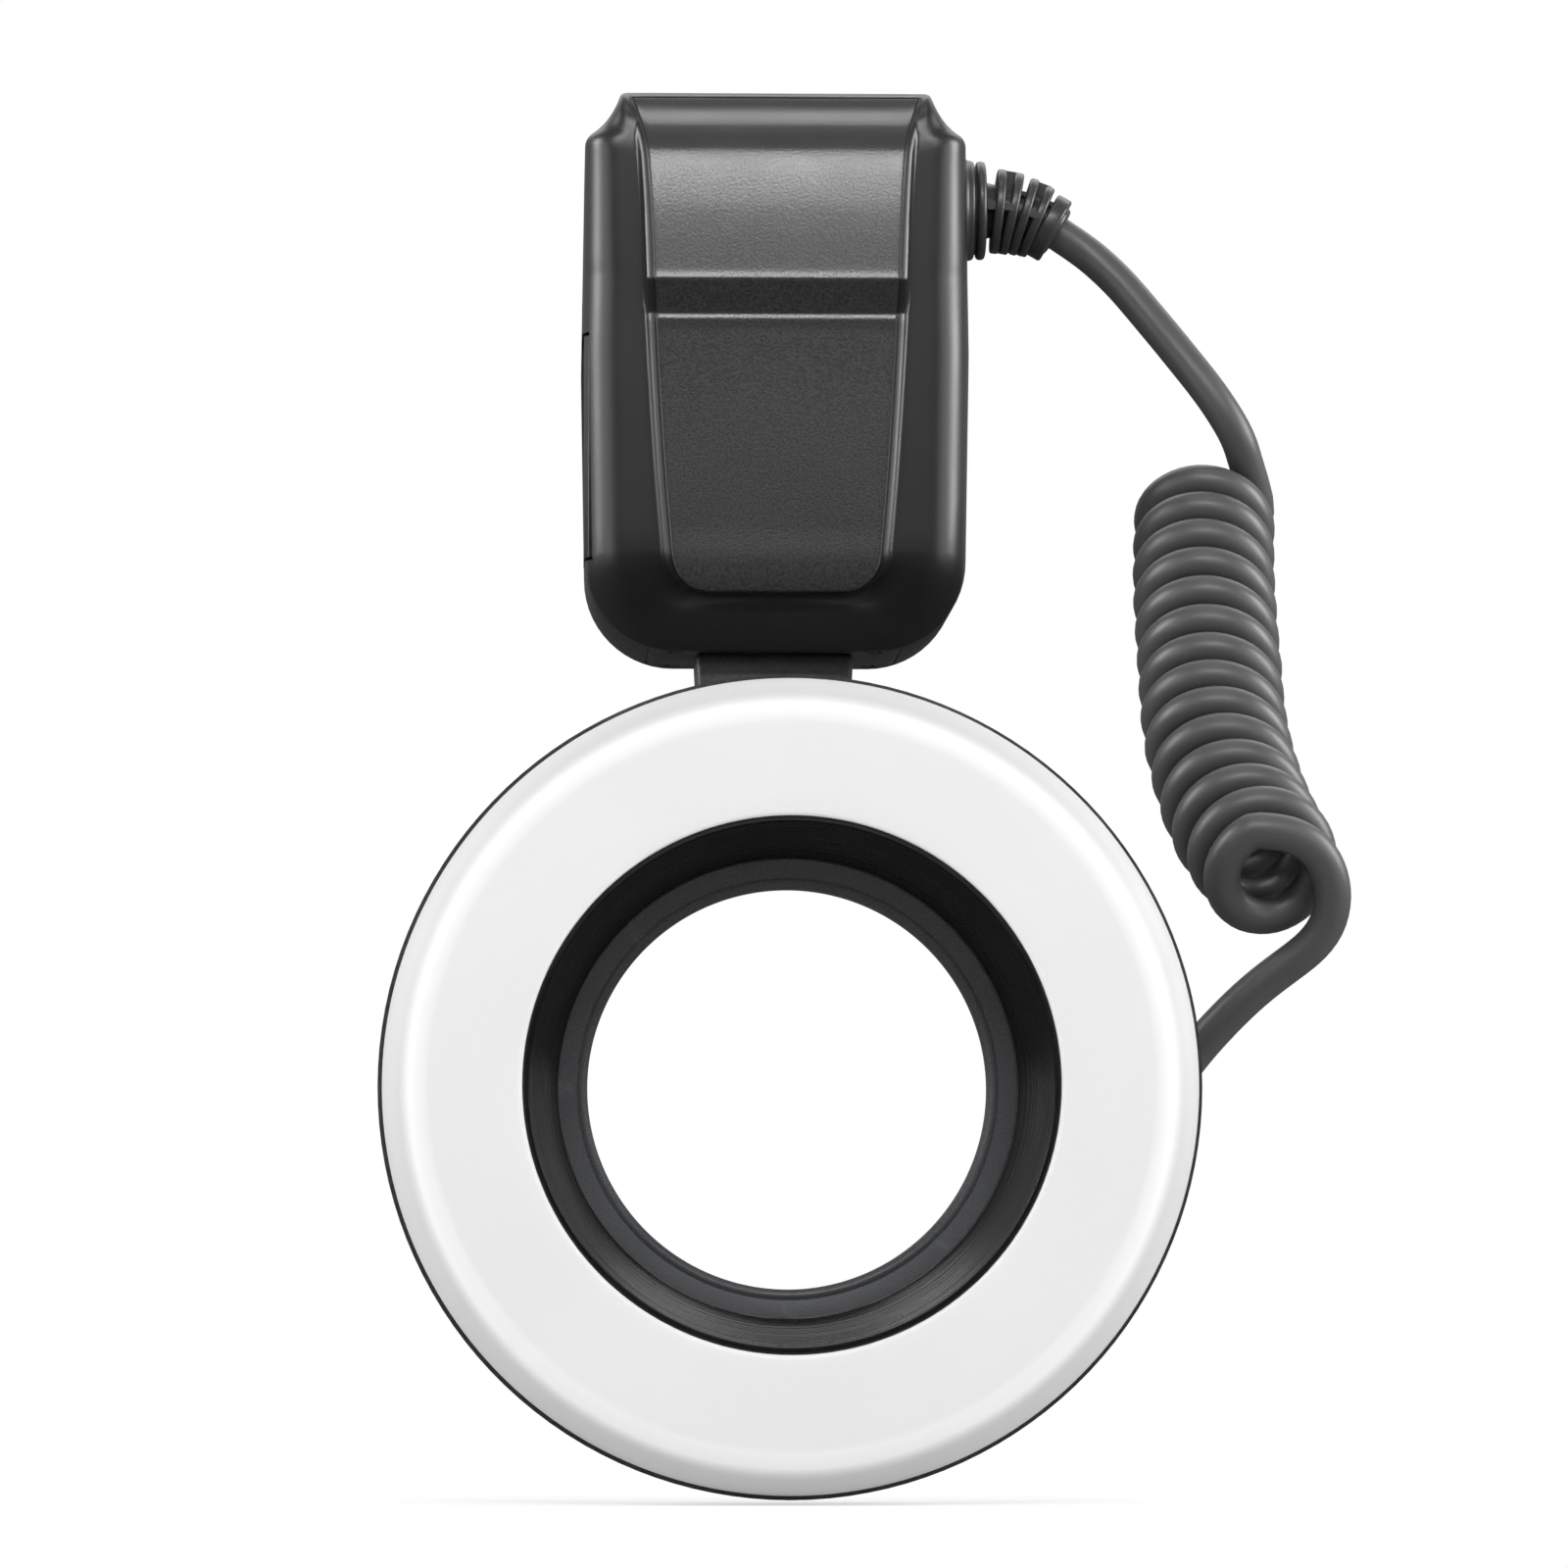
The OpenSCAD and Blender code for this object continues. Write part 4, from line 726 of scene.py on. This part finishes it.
# front line of the panel, seen from the side: (z, y)
panelLine = [
    (26, -21.2), (27.6, -22.5), (29, -23.3), (31, -23.9), (33.1, -24.2), (40, -24.3), (72, -24.66),
    (74, -24.72), (75, -24.8), (75.4, -24.85), (75.65, -24.84), (75.9, -24.78), (76.2, -24.7), (76.4, -24.67),
    (76.6, -24.72), (76.9, -24.9), (77.4, -25.2), (78.5, -25.98), (80, -27.05), (80.9, -27.68), (81.3, -27.97),
    (81.6, -28.2), (81.85, -28.33), (82.1, -28.35), (82.4, -28.29), (82.8, -28.2), (83.2, -28.12), (83.7, -28.06),
    (86, -27.86), (90, -27.5), (95, -26.9), (98, -26.4), (101, -25.82), (103, -25.36), (105, -24.74),
    (107, -23.85), (109, -22.72), (111, -21.4), (112.4, -20.4), (113.4, -19.55), (114.5, -18.4), (115.4, -16.9),
]
# half widths of the panel: (z, x), from the end of its corner
panelCornerZ = unitSetup["panelZ"] + unitSetup["panelR"]
panelWidths = [(panelCornerZ, unitSetup["panelLow"]), (48, 18.95), (62.1, 19.9), (80, 20.85),
               (100, 21.75), (104, 22.05), (107, 22.55), (109.5, 23.2), (111.3, 23.75), (112.8, 24.2),
               (114.5, 24.7)]


def smoothLine(table):
    # smooth curve through the points of a table
    a, b = np.array(table, float).T
    slope = np.gradient(b, a)

    def at(x):
        x = min(max(x, a[0]), a[-1])
        k = min(max(int(np.searchsorted(a, x)) - 1, 0), len(a) - 2)
        w = a[k + 1] - a[k]
        u = (x - a[k]) / w
        low = (2 * u ** 3 - 3 * u ** 2 + 1) * b[k] + (u ** 3 - 2 * u ** 2 + u) * w * slope[k]
        return float(low + (3 * u ** 2 - 2 * u ** 3) * b[k + 1] + (u ** 3 - u ** 2) * w * slope[k + 1])

    return at


panelY, panelEdge = smoothLine(panelLine), smoothLine(panelWidths)


def panelHalf(z, inset=0):
    s = unitSetup
    corner = s["panelR"] - inset
    if z < panelCornerZ:
        rise = min(max(panelCornerZ - z, 0), corner)
        return s["panelLow"] - s["panelR"] + math.sqrt(max(corner ** 2 - rise ** 2, 0))
    return panelEdge(z) - inset


def arcPoints(cx, cz, r, a0, a1, n):
    return [(cx + r * math.cos(math.radians(a0 + (a1 - a0) * k / n)),
             cz + r * math.sin(math.radians(a0 + (a1 - a0) * k / n))) for k in range(n + 1)]


# heights along the side, closer together beside the panel's step
sideZ = [36.5, 40, 45, 50, 55, 60, 65, 70, 73.5, 75, 75.9, 76.2, 76.45, 76.75, 77.2, 78.2, 79.4, 80.4, 80.9,
         81.3, 81.6, 81.9, 82.2, 82.5, 82.9, 83.6, 86, 90, 94, 98, 101, 103]
# points of a half outline: flat bottom, corner, side, cove with its lips, flat top
loopSteps = {"flat": 8, "corner": 14, "lip": 5, "hollow": 10, "cap": 4, "top": 10}
cornerAt = loopSteps["flat"] + loopSteps["corner"] + 1
coveAt = cornerAt + len(sideZ)
coveCount = loopSteps["lip"] + loopSteps["hollow"] + loopSteps["cap"] + 1


def unitHalfLoop(i):
    # right half of the outline, from the bottom's middle to the top's middle
    s, n = unitSetup, loopSteps
    z0, z1, r = s["baseZ"], s["topZ"], s["cornerR"]
    flat = s["lowHalf"] - r
    loop = [(flat * k / n["flat"], z0 + i) for k in range(n["flat"])]
    loop += arcPoints(flat, z0 + r, r - i, -90, 0, n["corner"])
    coveX, coveZ = s["cove"]
    lipR, capR = max(s["lipR"] - i, 0.02), max(s["topR"] - i, 0.02)
    lipX, reach = s["topHalf"] - i - lipR, s["coveR"] + i + lipR
    lipZ = coveZ - math.sqrt(reach ** 2 - (coveX - lipX) ** 2)
    lipTurn = math.degrees(math.atan2(coveZ - lipZ, coveX - lipX))
    capZ, reach = z1 - i - capR, s["coveR"] + i + capR
    capX = coveX - math.sqrt(reach ** 2 - (coveZ - capZ) ** 2)
    capTurn = math.degrees(math.atan2(coveZ - capZ, coveX - capX))
    midZ = z0 + 0.53 * (z1 - z0)
    for z in sideZ:
        u = (z - panelCornerZ) / (s["sideTopZ"] - panelCornerZ)
        zz = (z0 + r) * (1 - u) + lipZ * u
        half = np.interp(zz, [z0 + r, midZ, lipZ], [s["lowHalf"], s["midHalf"], s["topHalf"]])
        loop.append((float(half) - i, zz))
    loop += arcPoints(lipX, lipZ, lipR, 0, lipTurn, n["lip"])
    loop += arcPoints(coveX, coveZ, s["coveR"] + i, 180 + lipTurn, 180 + capTurn, n["hollow"])[1:]
    loop += arcPoints(capX, capZ, capR, capTurn, 90, n["cap"])[1:]
    return loop + [(capX * (1 - k / n["top"]), z1 - i) for k in range(1, n["top"] + 1)]


def fullLoop(half):
    # the middle points at bottom and top are shared
    return half + [(-x, z) for x, z in half[-2:0:-1]]


def panelHalfLoop():
    # the panel's half outline, point for point beside the unit's
    s, n = unitSetup, loopSteps
    flat = s["panelLow"] - s["panelR"]
    loop = [(flat * k / n["flat"], s["panelZ"]) for k in range(n["flat"])]
    loop += arcPoints(flat, panelCornerZ, s["panelR"], -90, 0, n["corner"])
    heights = [*sideZ, *np.linspace(s["sideTopZ"], s["panelTopZ"], coveCount)]
    loop += [(panelHalf(z), z) for z in heights]
    top = panelHalf(s["panelTopZ"])
    return loop + [(top * (1 - k / n["top"]), s["panelTopZ"]) for k in range(1, n["top"] + 1)]


def stationShape(k):
    # one section of the half outline: valley depth, roll depth and width, flank width,
    # how far the ridge stands up, how much it follows the rolled top, and how much it leans back at once
    valley, flank = unitSetup["valleyY"], unitSetup["flank"]
    if k < cornerAt:
        w = eased((k - loopSteps["flat"]) / (loopSteps["corner"] + 1), 0.2)
        return (valley + 3.4 * (1 - w), 3.1 + 4.3 * w, 8.6 - 1.2 * w, 0.9 + (flank - 0.9) * w, w, 0, 0.5 * (1 - w))
    if k < coveAt:
        w = max(0, ((k - cornerAt) / len(sideZ) - 0.75) / 0.25)
        return valley, 7.4 - 1.4 * w, 7.4 - 1.4 * w, flank, 1, 0, 0.0
    u = min((k - coveAt) / coveCount, 1)
    return valley + 2.4 * u ** 1.6, 6.0 - 1.6 * u, 6, flank, 1, eased(u, 0.35), 0.0


def beadY(q, ridge, body, flank):
    # rounded bead at the joint, then a steep wall down to the body
    bead, begin = unitSetup["bead"], 0.5
    turn = 0.63 * flank
    reach = min(max(q, 0), turn) + begin
    drop = math.sqrt(bead ** 2 - begin ** 2) - math.sqrt(bead ** 2 - reach ** 2)
    y = ridge + min(drop, max(body - ridge, 0))
    if q <= turn:
        return y
    t = min((q - turn) / (flank - turn), 1)
    return y + (body - y) * (1 - (1 - t) ** 2)


recessDrops = (1.45, 0.3, 0.1, 0.02)  # from the recess floor up to the ridge
flankPoints = 15


def frontBlock():
    # sections from the panel's outline to the unit's, over ridge, flank, valley and rolled edge
    s = unitSetup
    outer, inner, seam = unitHalfLoop(0), panelHalfLoop(), unitHalfLoop(s["seam"])
    rows = []
    for k, ((ox, oz), (ix, iz)) in enumerate(zip(outer, inner)):
        valley, rollDeep, rollWide, flank, lift, top, lean = stationShape(k)
        reach = math.hypot(ox - ix, oz - iz)
        flank = min(flank, 0.45 * reach)
        rollWide = min(rollWide, reach - flank - 0.1)
        ridge = valley + (panelY(iz) - 0.12 - valley) * lift
        where = [-0.3, -0.3, -0.24, -0.14, 0, 0.2, 0.4, 0.6, 0.8, 0.95]
        where += [0.95 + (flank - 0.95) * u for u in (0.16, 0.32, 0.5, 0.75, 1)]
        where = [w for w in where if w < flank] + [flank]
        while len(where) < flankPoints:
            where.append(flank + 1e-3 * (len(where) - 8))
        edge = reach - rollWide
        where += [flank + (edge - flank) * u for u in (0.25, 0.5, 0.75, 1)]
        where += [reach - rollWide * (1 - math.sin(math.radians(a))) for a in range(9, 91, 9)]
        row = []
        for j, q in enumerate(where):
            x, z = ix + (ox - ix) * q / reach, iz + (oz - iz) * q / reach
            if j < len(recessDrops):
                row.append((x, ridge + recessDrops[j], z))
                continue
            gap = reach - q
            v = max(0, 1 - gap / rollWide)
            roll = rollDeep * (lean * v + (1 - lean) * (1 - math.sqrt(max(0, 1 - v * v))))
            body = (valley + roll) * (1 - top) + (panelY(z) + 0.1) * top
            row.append((x, beadY(q, ridge, body, flank), z))
        row += [(ox, s["splitY"] - s["seam"], oz), (seam[k][0], s["splitY"], seam[k][1])]
        rows.append(row)
    rows += [[(-x, y, z) for x, y, z in row] for row in rows[-2:0:-1]]
    n, m = len(rows), len(rows[0])
    points = [p for row in rows for p in row]
    faces = gridFaces(n, m, True, False) + [tuple(k * m + m - 1 for k in range(n))]
    # recess floor, in strips from side to side
    half = len(outer)
    low, high = loopSteps["flat"], half - loopSteps["top"] - 1
    other = [(n - k) % n for k in range(n)]
    faces += [(k * m, (k + 1) * m, other[k + 1] * m, other[k] * m) for k in range(low, high)]
    faces.append(tuple(k * m for k in [*other[low:0:-1], *range(low + 1)]))
    faces.append(tuple(k * m for k in [*range(high, half), *other[half - 2:high - 1:-1]]))
    return points, faces


def rearBlock():
    s = unitSetup
    steps = [(s["seam"], s["splitY"]), (0, s["splitY"] + s["seam"])]
    for a in range(0, 91, 9):
        t = math.radians(a)
        steps.append((s["rearRoll"] * (1 - math.cos(t)), s["rearY"] - s["rearRoll"] * (1 - math.sin(t))))
    points = [(x, y, z) for i, y in steps for x, z in fullLoop(unitHalfLoop(i))]
    return points, tubeFaces(len(steps), len(points) // len(steps))


def sharedCuts():
    # battery bay, latch slot, foot, base plate and collar
    return [
        boxCutter(-40, -19.8, 34.8, -26, 1.2, 73.8),
        boxCutter(-40, -13.6, 75.5, -26, -5, 82.4),
        boxCutter(-14, -12, 10, 14, 12, 24.5),
        boxCutter(-21.75, -16.15, 10, 21.75, 18.15, 20.7),
        rodCutter((27, 0, 97.7), (1, 0, 0), 6.2, 12),
    ]


def makeShells():
    s = unitSetup
    inside = fullLoop(unitHalfLoop(s["wall"]))
    # the cavity keeps clear of the rolled edges, with pockets for the battery and the capacitor
    narrow = [(x, min(max(z, 34.6), 104)) for x, z in fullLoop(unitHalfLoop(8.5))]
    cuts = [loopCutter(narrow, -20.6, -11), loopCutter(inside, -11.5, 12),
            boxCutter(-29, -19.8, 34.8, 29, 1.2, 73.8), boxCutter(-26, -19.6, 74.4, 26.6, 3, 96.5), *sharedCuts()]
    mesh = carve(cutterFrom(*frontBlock()), cuts, "front_housing")
    settle(mesh, "front_housing", ("front_shell",), 32)
    # openings for screen, keys, dial, switch and ports
    cuts = [loopCutter(inside, -4, 24), *sharedCuts(),
            boxCutter(-21.5, 22, 71.5, 21.5, 30, 104.5), boxCutter(-23.05, 24.8, 69.95, 23.05, 30, 106.05),
            boxCutter(20.3, 22, 27.2, 23.5, 30, 36.8),
            boxCutter(31.7, 6.6, 35.2, 40, 20, 73.2), boxCutter(28, 10.4, 58.8, 40, 14.2, 68.2),
            rodCutter((28, 13.6, 54), (1, 0, 0), 3.1, 8), rodCutter((0, 20, 39.5), (0, 1, 0), 9.3, 10)]
    cuts += [boxCutter(x - 4.8, 22, 58.5, x + 4.8, 30, 63.5) for x in (-18, -6, 6, 18)]
    cuts += [rodCutter((x, 20, z), (0, 1, 0), r, 10)
             for x, z, r in ((-21.9, 46.5, 3.9), (-21.9, 33.5, 3.9), (21.9, 46.5, 4.5))]
    mesh = carve(cutterFrom(*rearBlock()), cuts, "rear_housing")
    settle(mesh, "rear_housing", ("rear_shell",), 32)


def makePanel():
    s, inset = unitSetup, unitSetup["panelFit"]
    edge, columns = (0, 0.03, 0.08, 0.16, 0.28, 0.42), 28
    ease = edge[-1]
    lowZ, highZ = s["panelZ"] + inset, s["panelTopZ"] - inset
    corner = s["panelR"] - inset
    heights = [lowZ + d for d in edge] + [highZ - d for d in edge] + sideZ + [z for z, y in panelLine]
    heights += [panelCornerZ - corner * math.cos(math.radians(a)) for a in range(10, 91, 5)]
    heights += [*np.linspace(37, 74, 26), *np.linspace(84, 110, 30)]
    rows = sorted({round(z, 4) for z in heights if lowZ <= z <= highZ})
    outline = [(panelHalf(z, inset), z) for z in np.linspace(lowZ, highZ, 500)]
    outline = np.array([(0, lowZ)] + outline + [(0, highZ)])
    front = []
    for z in rows:
        half = panelHalf(z, inset)
        line = []
        for x in [half - d for d in edge] + [(half - ease) * (1 - k / columns) for k in range(1, columns + 1)]:
            d = min(segmentDistance(outline, x, z), ease)
            line.append((x, panelY(z) + ease - math.sqrt(ease ** 2 - (ease - d) ** 2), z))
        front += line + [(-x, y, z) for x, y, z in line[-2::-1]]
    n, m = len(rows), len(front) // len(rows)
    back = [(x, max(panelY(z) + 1.15, -18.4 - 5 * eased((z - 33) / 4)), z) for x, y, z in front]
    faces = gridFaces(n, m, False, False)
    faces += [tuple(n * m + i for i in face) for face in faces]
    rim = [*range(m), *range(2 * m - 1, n * m, m), *range(n * m - 2, (n - 1) * m - 1, -1), *range((n - 2) * m, 0, -m)]
    faces += [(a, b, n * m + b, n * m + a) for a, b in zip(rim, rim[1:] + rim[:1])]
    addPiece("grained_panel", (front + back, faces), ("front_panel",), 40)


def segmentDistance(line, x, z):
    a, b = line[:-1], line[1:]
    d = b - a
    p = np.array((x, z))
    t = np.clip(((p - a) * d).sum(1) / np.maximum((d * d).sum(1), 1e-12), 0, 1)
    return float(np.min(np.linalg.norm(p - (a + d * t[:, None]), axis=1)))


makeShells()
makePanel()
print("housing is made")

# ring head

ringSetup = {"domeR": 64.75, "shoulderR": 7, "depth": 27, "wall": 2, "rimH": 17.62}
bezelSetup = {"steps": 34, "from": 4.95, "to": 26.2, "footR": 36.9, "footH": 4.9, "slope": 4.5 / 21.6}


def makeDiffuser():
    r = ringSetup
    knee = (r["domeR"] - r["shoulderR"], r["depth"] - r["shoulderR"])
    profile = [(r["domeR"], r["rimH"]), (r["domeR"], 18.8), *arcPoints(*knee, r["shoulderR"], 0, 90, 18)]
    profile += [(54, 27), (50, 27), (46, 27), (43.5, 27), (43, 26.93), (42.7, 26.72), (42.53, 26.42),
                (42.5, 26), (42.5, 24.6), (44.3, 24.6), (44.3, 25)]
    profile += arcPoints(*knee, r["shoulderR"] - r["wall"], 90, 0, 12) + [(63, r["rimH"])]
    addPiece("milk_diffuser", lathe(profile), ("diffuser",), 40)


def makeBezel():
    # cone with turned steps
    b = bezelSetup
    heights = [b["from"] + (b["to"] - b["from"]) * k / b["steps"] for k in range(b["steps"] + 1)]
    profile = []
    for h0, h1 in zip(heights, heights[1:]):
        r0, r1 = (b["footR"] + (h - b["footH"]) * b["slope"] for h in (h0, h1))
        profile += [(r0, h0), (r0 + (r1 - r0) * 0.7 + 0.06, h0 + (h1 - h0) * 0.42), (r1, h1 - 0.06)]
    profile += [(41.45, 26.38), (41.6, 26.5), (42.2, 26.5), (42.4, 26.35), (42.4, 24.5), (44.2, 24.5), (44.2, 23.3),
                (42.1, 23.3), (38.5, 6.3), (39.4, 6.3), (39.4, 4.9)]
    addPiece("turned_bezel", lathe(profile), ("inner_bezel",), 30)


def makeAdapter():
    # thread behind a grooved flange
    pitch = 0.75
    profile = [(32.3, -3.4), (32.9, -3.5)]
    for k in range(4):
        h = -3.35 + pitch * k
        profile += [(33, h), (33.45, h + 0.28), (33.45, h + 0.42), (33, h + 0.7)]
    profile += [(33, -0.05), (33.1, 0), (40.8, 0), (41, 0.15), (41, 0.62), (40.9, 0.7), (39.6, 0.75),
                (39.6, 2.35), (40.9, 2.4), (41, 2.5), (41, 2.85), (40.85, 3), (34.2, 3), (34, 2.9),
                (33.8, 2.9), (33.6, 3), (33.05, 3), (32.85, 2.9), (32.25, 2.45), (32.2, 2.3), (32.2, -3.2)]
    addPiece("thread_adapter", lathe(profile), ("adapter_ring",), 30)


springSetup = {"from": 53.25, "to": 59.15, "radius": 1.8, "wire": 0.25, "turns": 4, "steps": 24, "keep": 0.58}


def makeSpring(hand, side, h):
    # pressed together between the post and the plate's end bar
    s = springSetup
    y, z = lensSetup["backY"] - h, lensSetup["axisZ"]
    line = []
    for k in range(s["turns"] * s["steps"] + 1):
        u, a = k / (s["turns"] * s["steps"]), 2 * math.pi * k / s["steps"]
        x = side * (s["from"] + (s["to"] - s["from"]) * u)
        line.append((x, y - s["radius"] * math.sin(a), z + s["radius"] * math.cos(a)))
    tube = sweepTube(line, s["wire"], 10)
    spring = addPiece(hand + "_coil_spring", tube, (hand + "_release_spring",), 60)
    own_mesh(spring)


makeDiffuser()
makeBezel()
makeAdapter()
softCopy("ring_rear_shell", 0.35)
makeSpring("right", 1, 5.8)
makeSpring("left", -1, 7.1)
print("ring head is made")

# cord collar and boots

bootSetup = {
    "x": 36.8, "z": 97.7, "bend": 22.6, "turn": 33, "core": 4.3, "neck": 4.9,
    # angle round the bend, radius, half thickness
    "ribs": [(5.8, 7.35, 0.8), (11.9, 7.2, 0.8), (17.4, 6.9, 0.8), (23.4, 6.5, 0.8), (29.5, 5.9, 1.4)],
    # webs before each rib: half width, reach, first angle, how many
    "bars": [(0.75, 7, 90, 2), (0.7, 7.2, 0, 4), (0.6, 5, 45, 4), (0.7, 6.6, 0, 4), (0.6, 5, 45, 4)],
    "barsFrom": 0.4,
}


def bootFrame(a):
    b = bootSetup
    t = math.radians(a)
    spot = Vector((b["x"] + b["bend"] * math.sin(t), 0, b["z"] - b["bend"] * (1 - math.cos(t))))
    return spot, Vector((math.cos(t), 0, -math.sin(t)))


def joinParts(parts):
    points, faces = [], []
    for p, f in parts:
        faces += [tuple(len(points) + i for i in face) for face in f]
        points += list(p)
    return points, faces


def makeBoot():
    b = bootSetup
    steps = 24
    core = [bootFrame(b["turn"] * k / steps)[0] for k in range(steps + 1)]
    radii = [b["core"] + (b["neck"] - b["core"]) * max(0, 1 - k / 5) for k in range(steps + 1)]
    parts = [sweepTube(core, radii, 40)]
    for a, r, half in b["ribs"]:
        side = [(half, r - 0.45), (half - 0.08, r - 0.2), (half - 0.28, r - 0.04), (half - 0.4, r)]
        disc = [(-half, 3.6)] + [(-s, q) for s, q in side] + side[::-1] + [(half, 3.6)]
        parts.append(spinProfile(*bootFrame(a), disc, 72))
    angles = [b["barsFrom"], *(a for a, r, half in b["ribs"])]
    for a0, a1, (half, reach, first, count) in zip(angles, angles[1:], b["bars"]):
        for q in range(count):
            parts.append(bootBar(a0, a1, half, reach, math.radians(first + q * 360 / count)))
    lip = [(-1.4, 4.6), (-0.3, 4.6), (0.15, 4.45), (0.4, 4.1), (0.5, 3.6), (0.3, 2.9), (-1.4, 2.9)]
    parts.append(spinProfile(*bootFrame(b["turn"]), lip, 56))
    addPiece("ribbed_boot", joinParts(parts), ("cable_boot",), 40)


def bootBar(a0, a1, half, reach, turn):
    # a web between two ribs that follows the bend
    ease, steps, up = 0.18, 4, Vector((0, 1, 0))
    shape = [(3.4, -half), (reach - ease, -half), (reach, -half + ease), (reach, half - ease), (reach - ease, half),
             (3.4, half)]
    points = []
    for k in range(steps + 1):
        spot, along = bootFrame(a0 + (a1 - a0) * k / steps)
        out = math.cos(turn) * up.cross(along) + math.sin(turn) * up
        side = along.cross(out)
        points += [spot + out * u + side * w for u, w in shape]
    return points, tubeFaces(steps + 1, len(shape))


def makeCollar():
    profile = [(-4, 0), (-4, 7.3), (-2.6, 7.3), (-2.5, 6.1), (0.1, 6.1), (0.1, 9.6), (0.22, 9.2), (0.45, 8.9),
               (0.8, 8.7), (1.2, 8.65), (1.6, 8.5), (1.8, 8.2), (1.85, 7.7), (2.15, 7.6), (2.2, 8.1), (2.4, 8.4),
               (2.8, 8.55), (3.3, 8.5), (3.65, 8.3), (3.8, 7.9), (3.8, 0)]
    shape = spinProfile((33, 0, bootSetup["z"]), (1, 0, 0), profile, 88)
    addPiece("screw_collar", shape, ("cable_collar",), 40, "boot_rubber")


def makeRingBoot():
    length, deep, pitch = 11.1, 0.55, 2.6
    out = Vector(cordSetup["ringOut"])
    spot = Vector(cordSetup["ringTip"]) - out * length
    profile = [(0, 0), (0, 4.8), (0.2, 5), (1.8, 5), (2, 4.8)]
    for k, r in enumerate((4.8, 4.55, 4.35)):
        s = 2.0 + pitch * k
        profile += [(s + 0.12, r - deep), (s + 0.9, r - deep), (s + 1, r - 0.15), (s + 1.2, r), (s + 2.3, r),
                    (s + 2.5, r - 0.15)]
    profile += [(10, 4.1), (10.9, 3.9), (length, 3.6), (length, 0)]
    shape = spinProfile(spot, out, profile, 56)
    addPiece("ring_strain_boot", shape, ("ring_boot",), 40)


makeBoot()
makeCollar()
makeRingBoot()
print("boots are made")

# copies of the small moulded and metal pieces, with edges eased by so many mm

easedNodes = {
    "base_plate": 0.1, "foot_block": 0.8, "shoe_foot": 0.25, "lock_lever": 0.5, "battery_pack": 0.5,
    "battery_latch": 0.15, **{"function_key_%d" % k: 0.35 for k in (1, 2, 3, 4)}, "mode_button": 0.35,
    "lamp_button": 0.35, "test_button": 0.4, "control_dial": 0.25, "set_button": 0.5, "power_switch": 0.35,
    "port_cover": 0.25, "lcd_window": 0.2, "right_release_button": 0.25, "left_release_button": 0.25,
    "base_screws": 0.15, "ring_screws": 0.15,
}
# screws sunk into the base plate, and a battery end that follows the rolled side
screwSpots = [(x, y) for x in (-17.9, 17.9) for y in (-13, 14.5)]
batteryEnd = arcPoints(-25.75, -15.7, 7.1, 180, 250, 14) + [(-31, -26), (-42, -26), (-42, -15.7)]
cutsOfNode = {
    "base_plate": [rodCutter((x, y, 18), (0, 0, 1), 2.2, 2.45, 40) for x, y in screwSpots],
    "battery_pack": [prismCutter([(x, y, 30) for x, y in batteryEnd], [(x, y, 78) for x, y in batteryEnd])],
}
liftOfNode = {"base_screws": 1.1}
for node, width in easedNodes.items():
    softCopy(node, width, cutsOfNode.get(node, ()), liftOfNode.get(node, 0))
for node in ("base_screws", "ring_screws"):
    scene.objects[node + "_eased"].data.materials[0] = finishes["black_steel"]
print("small pieces are eased")
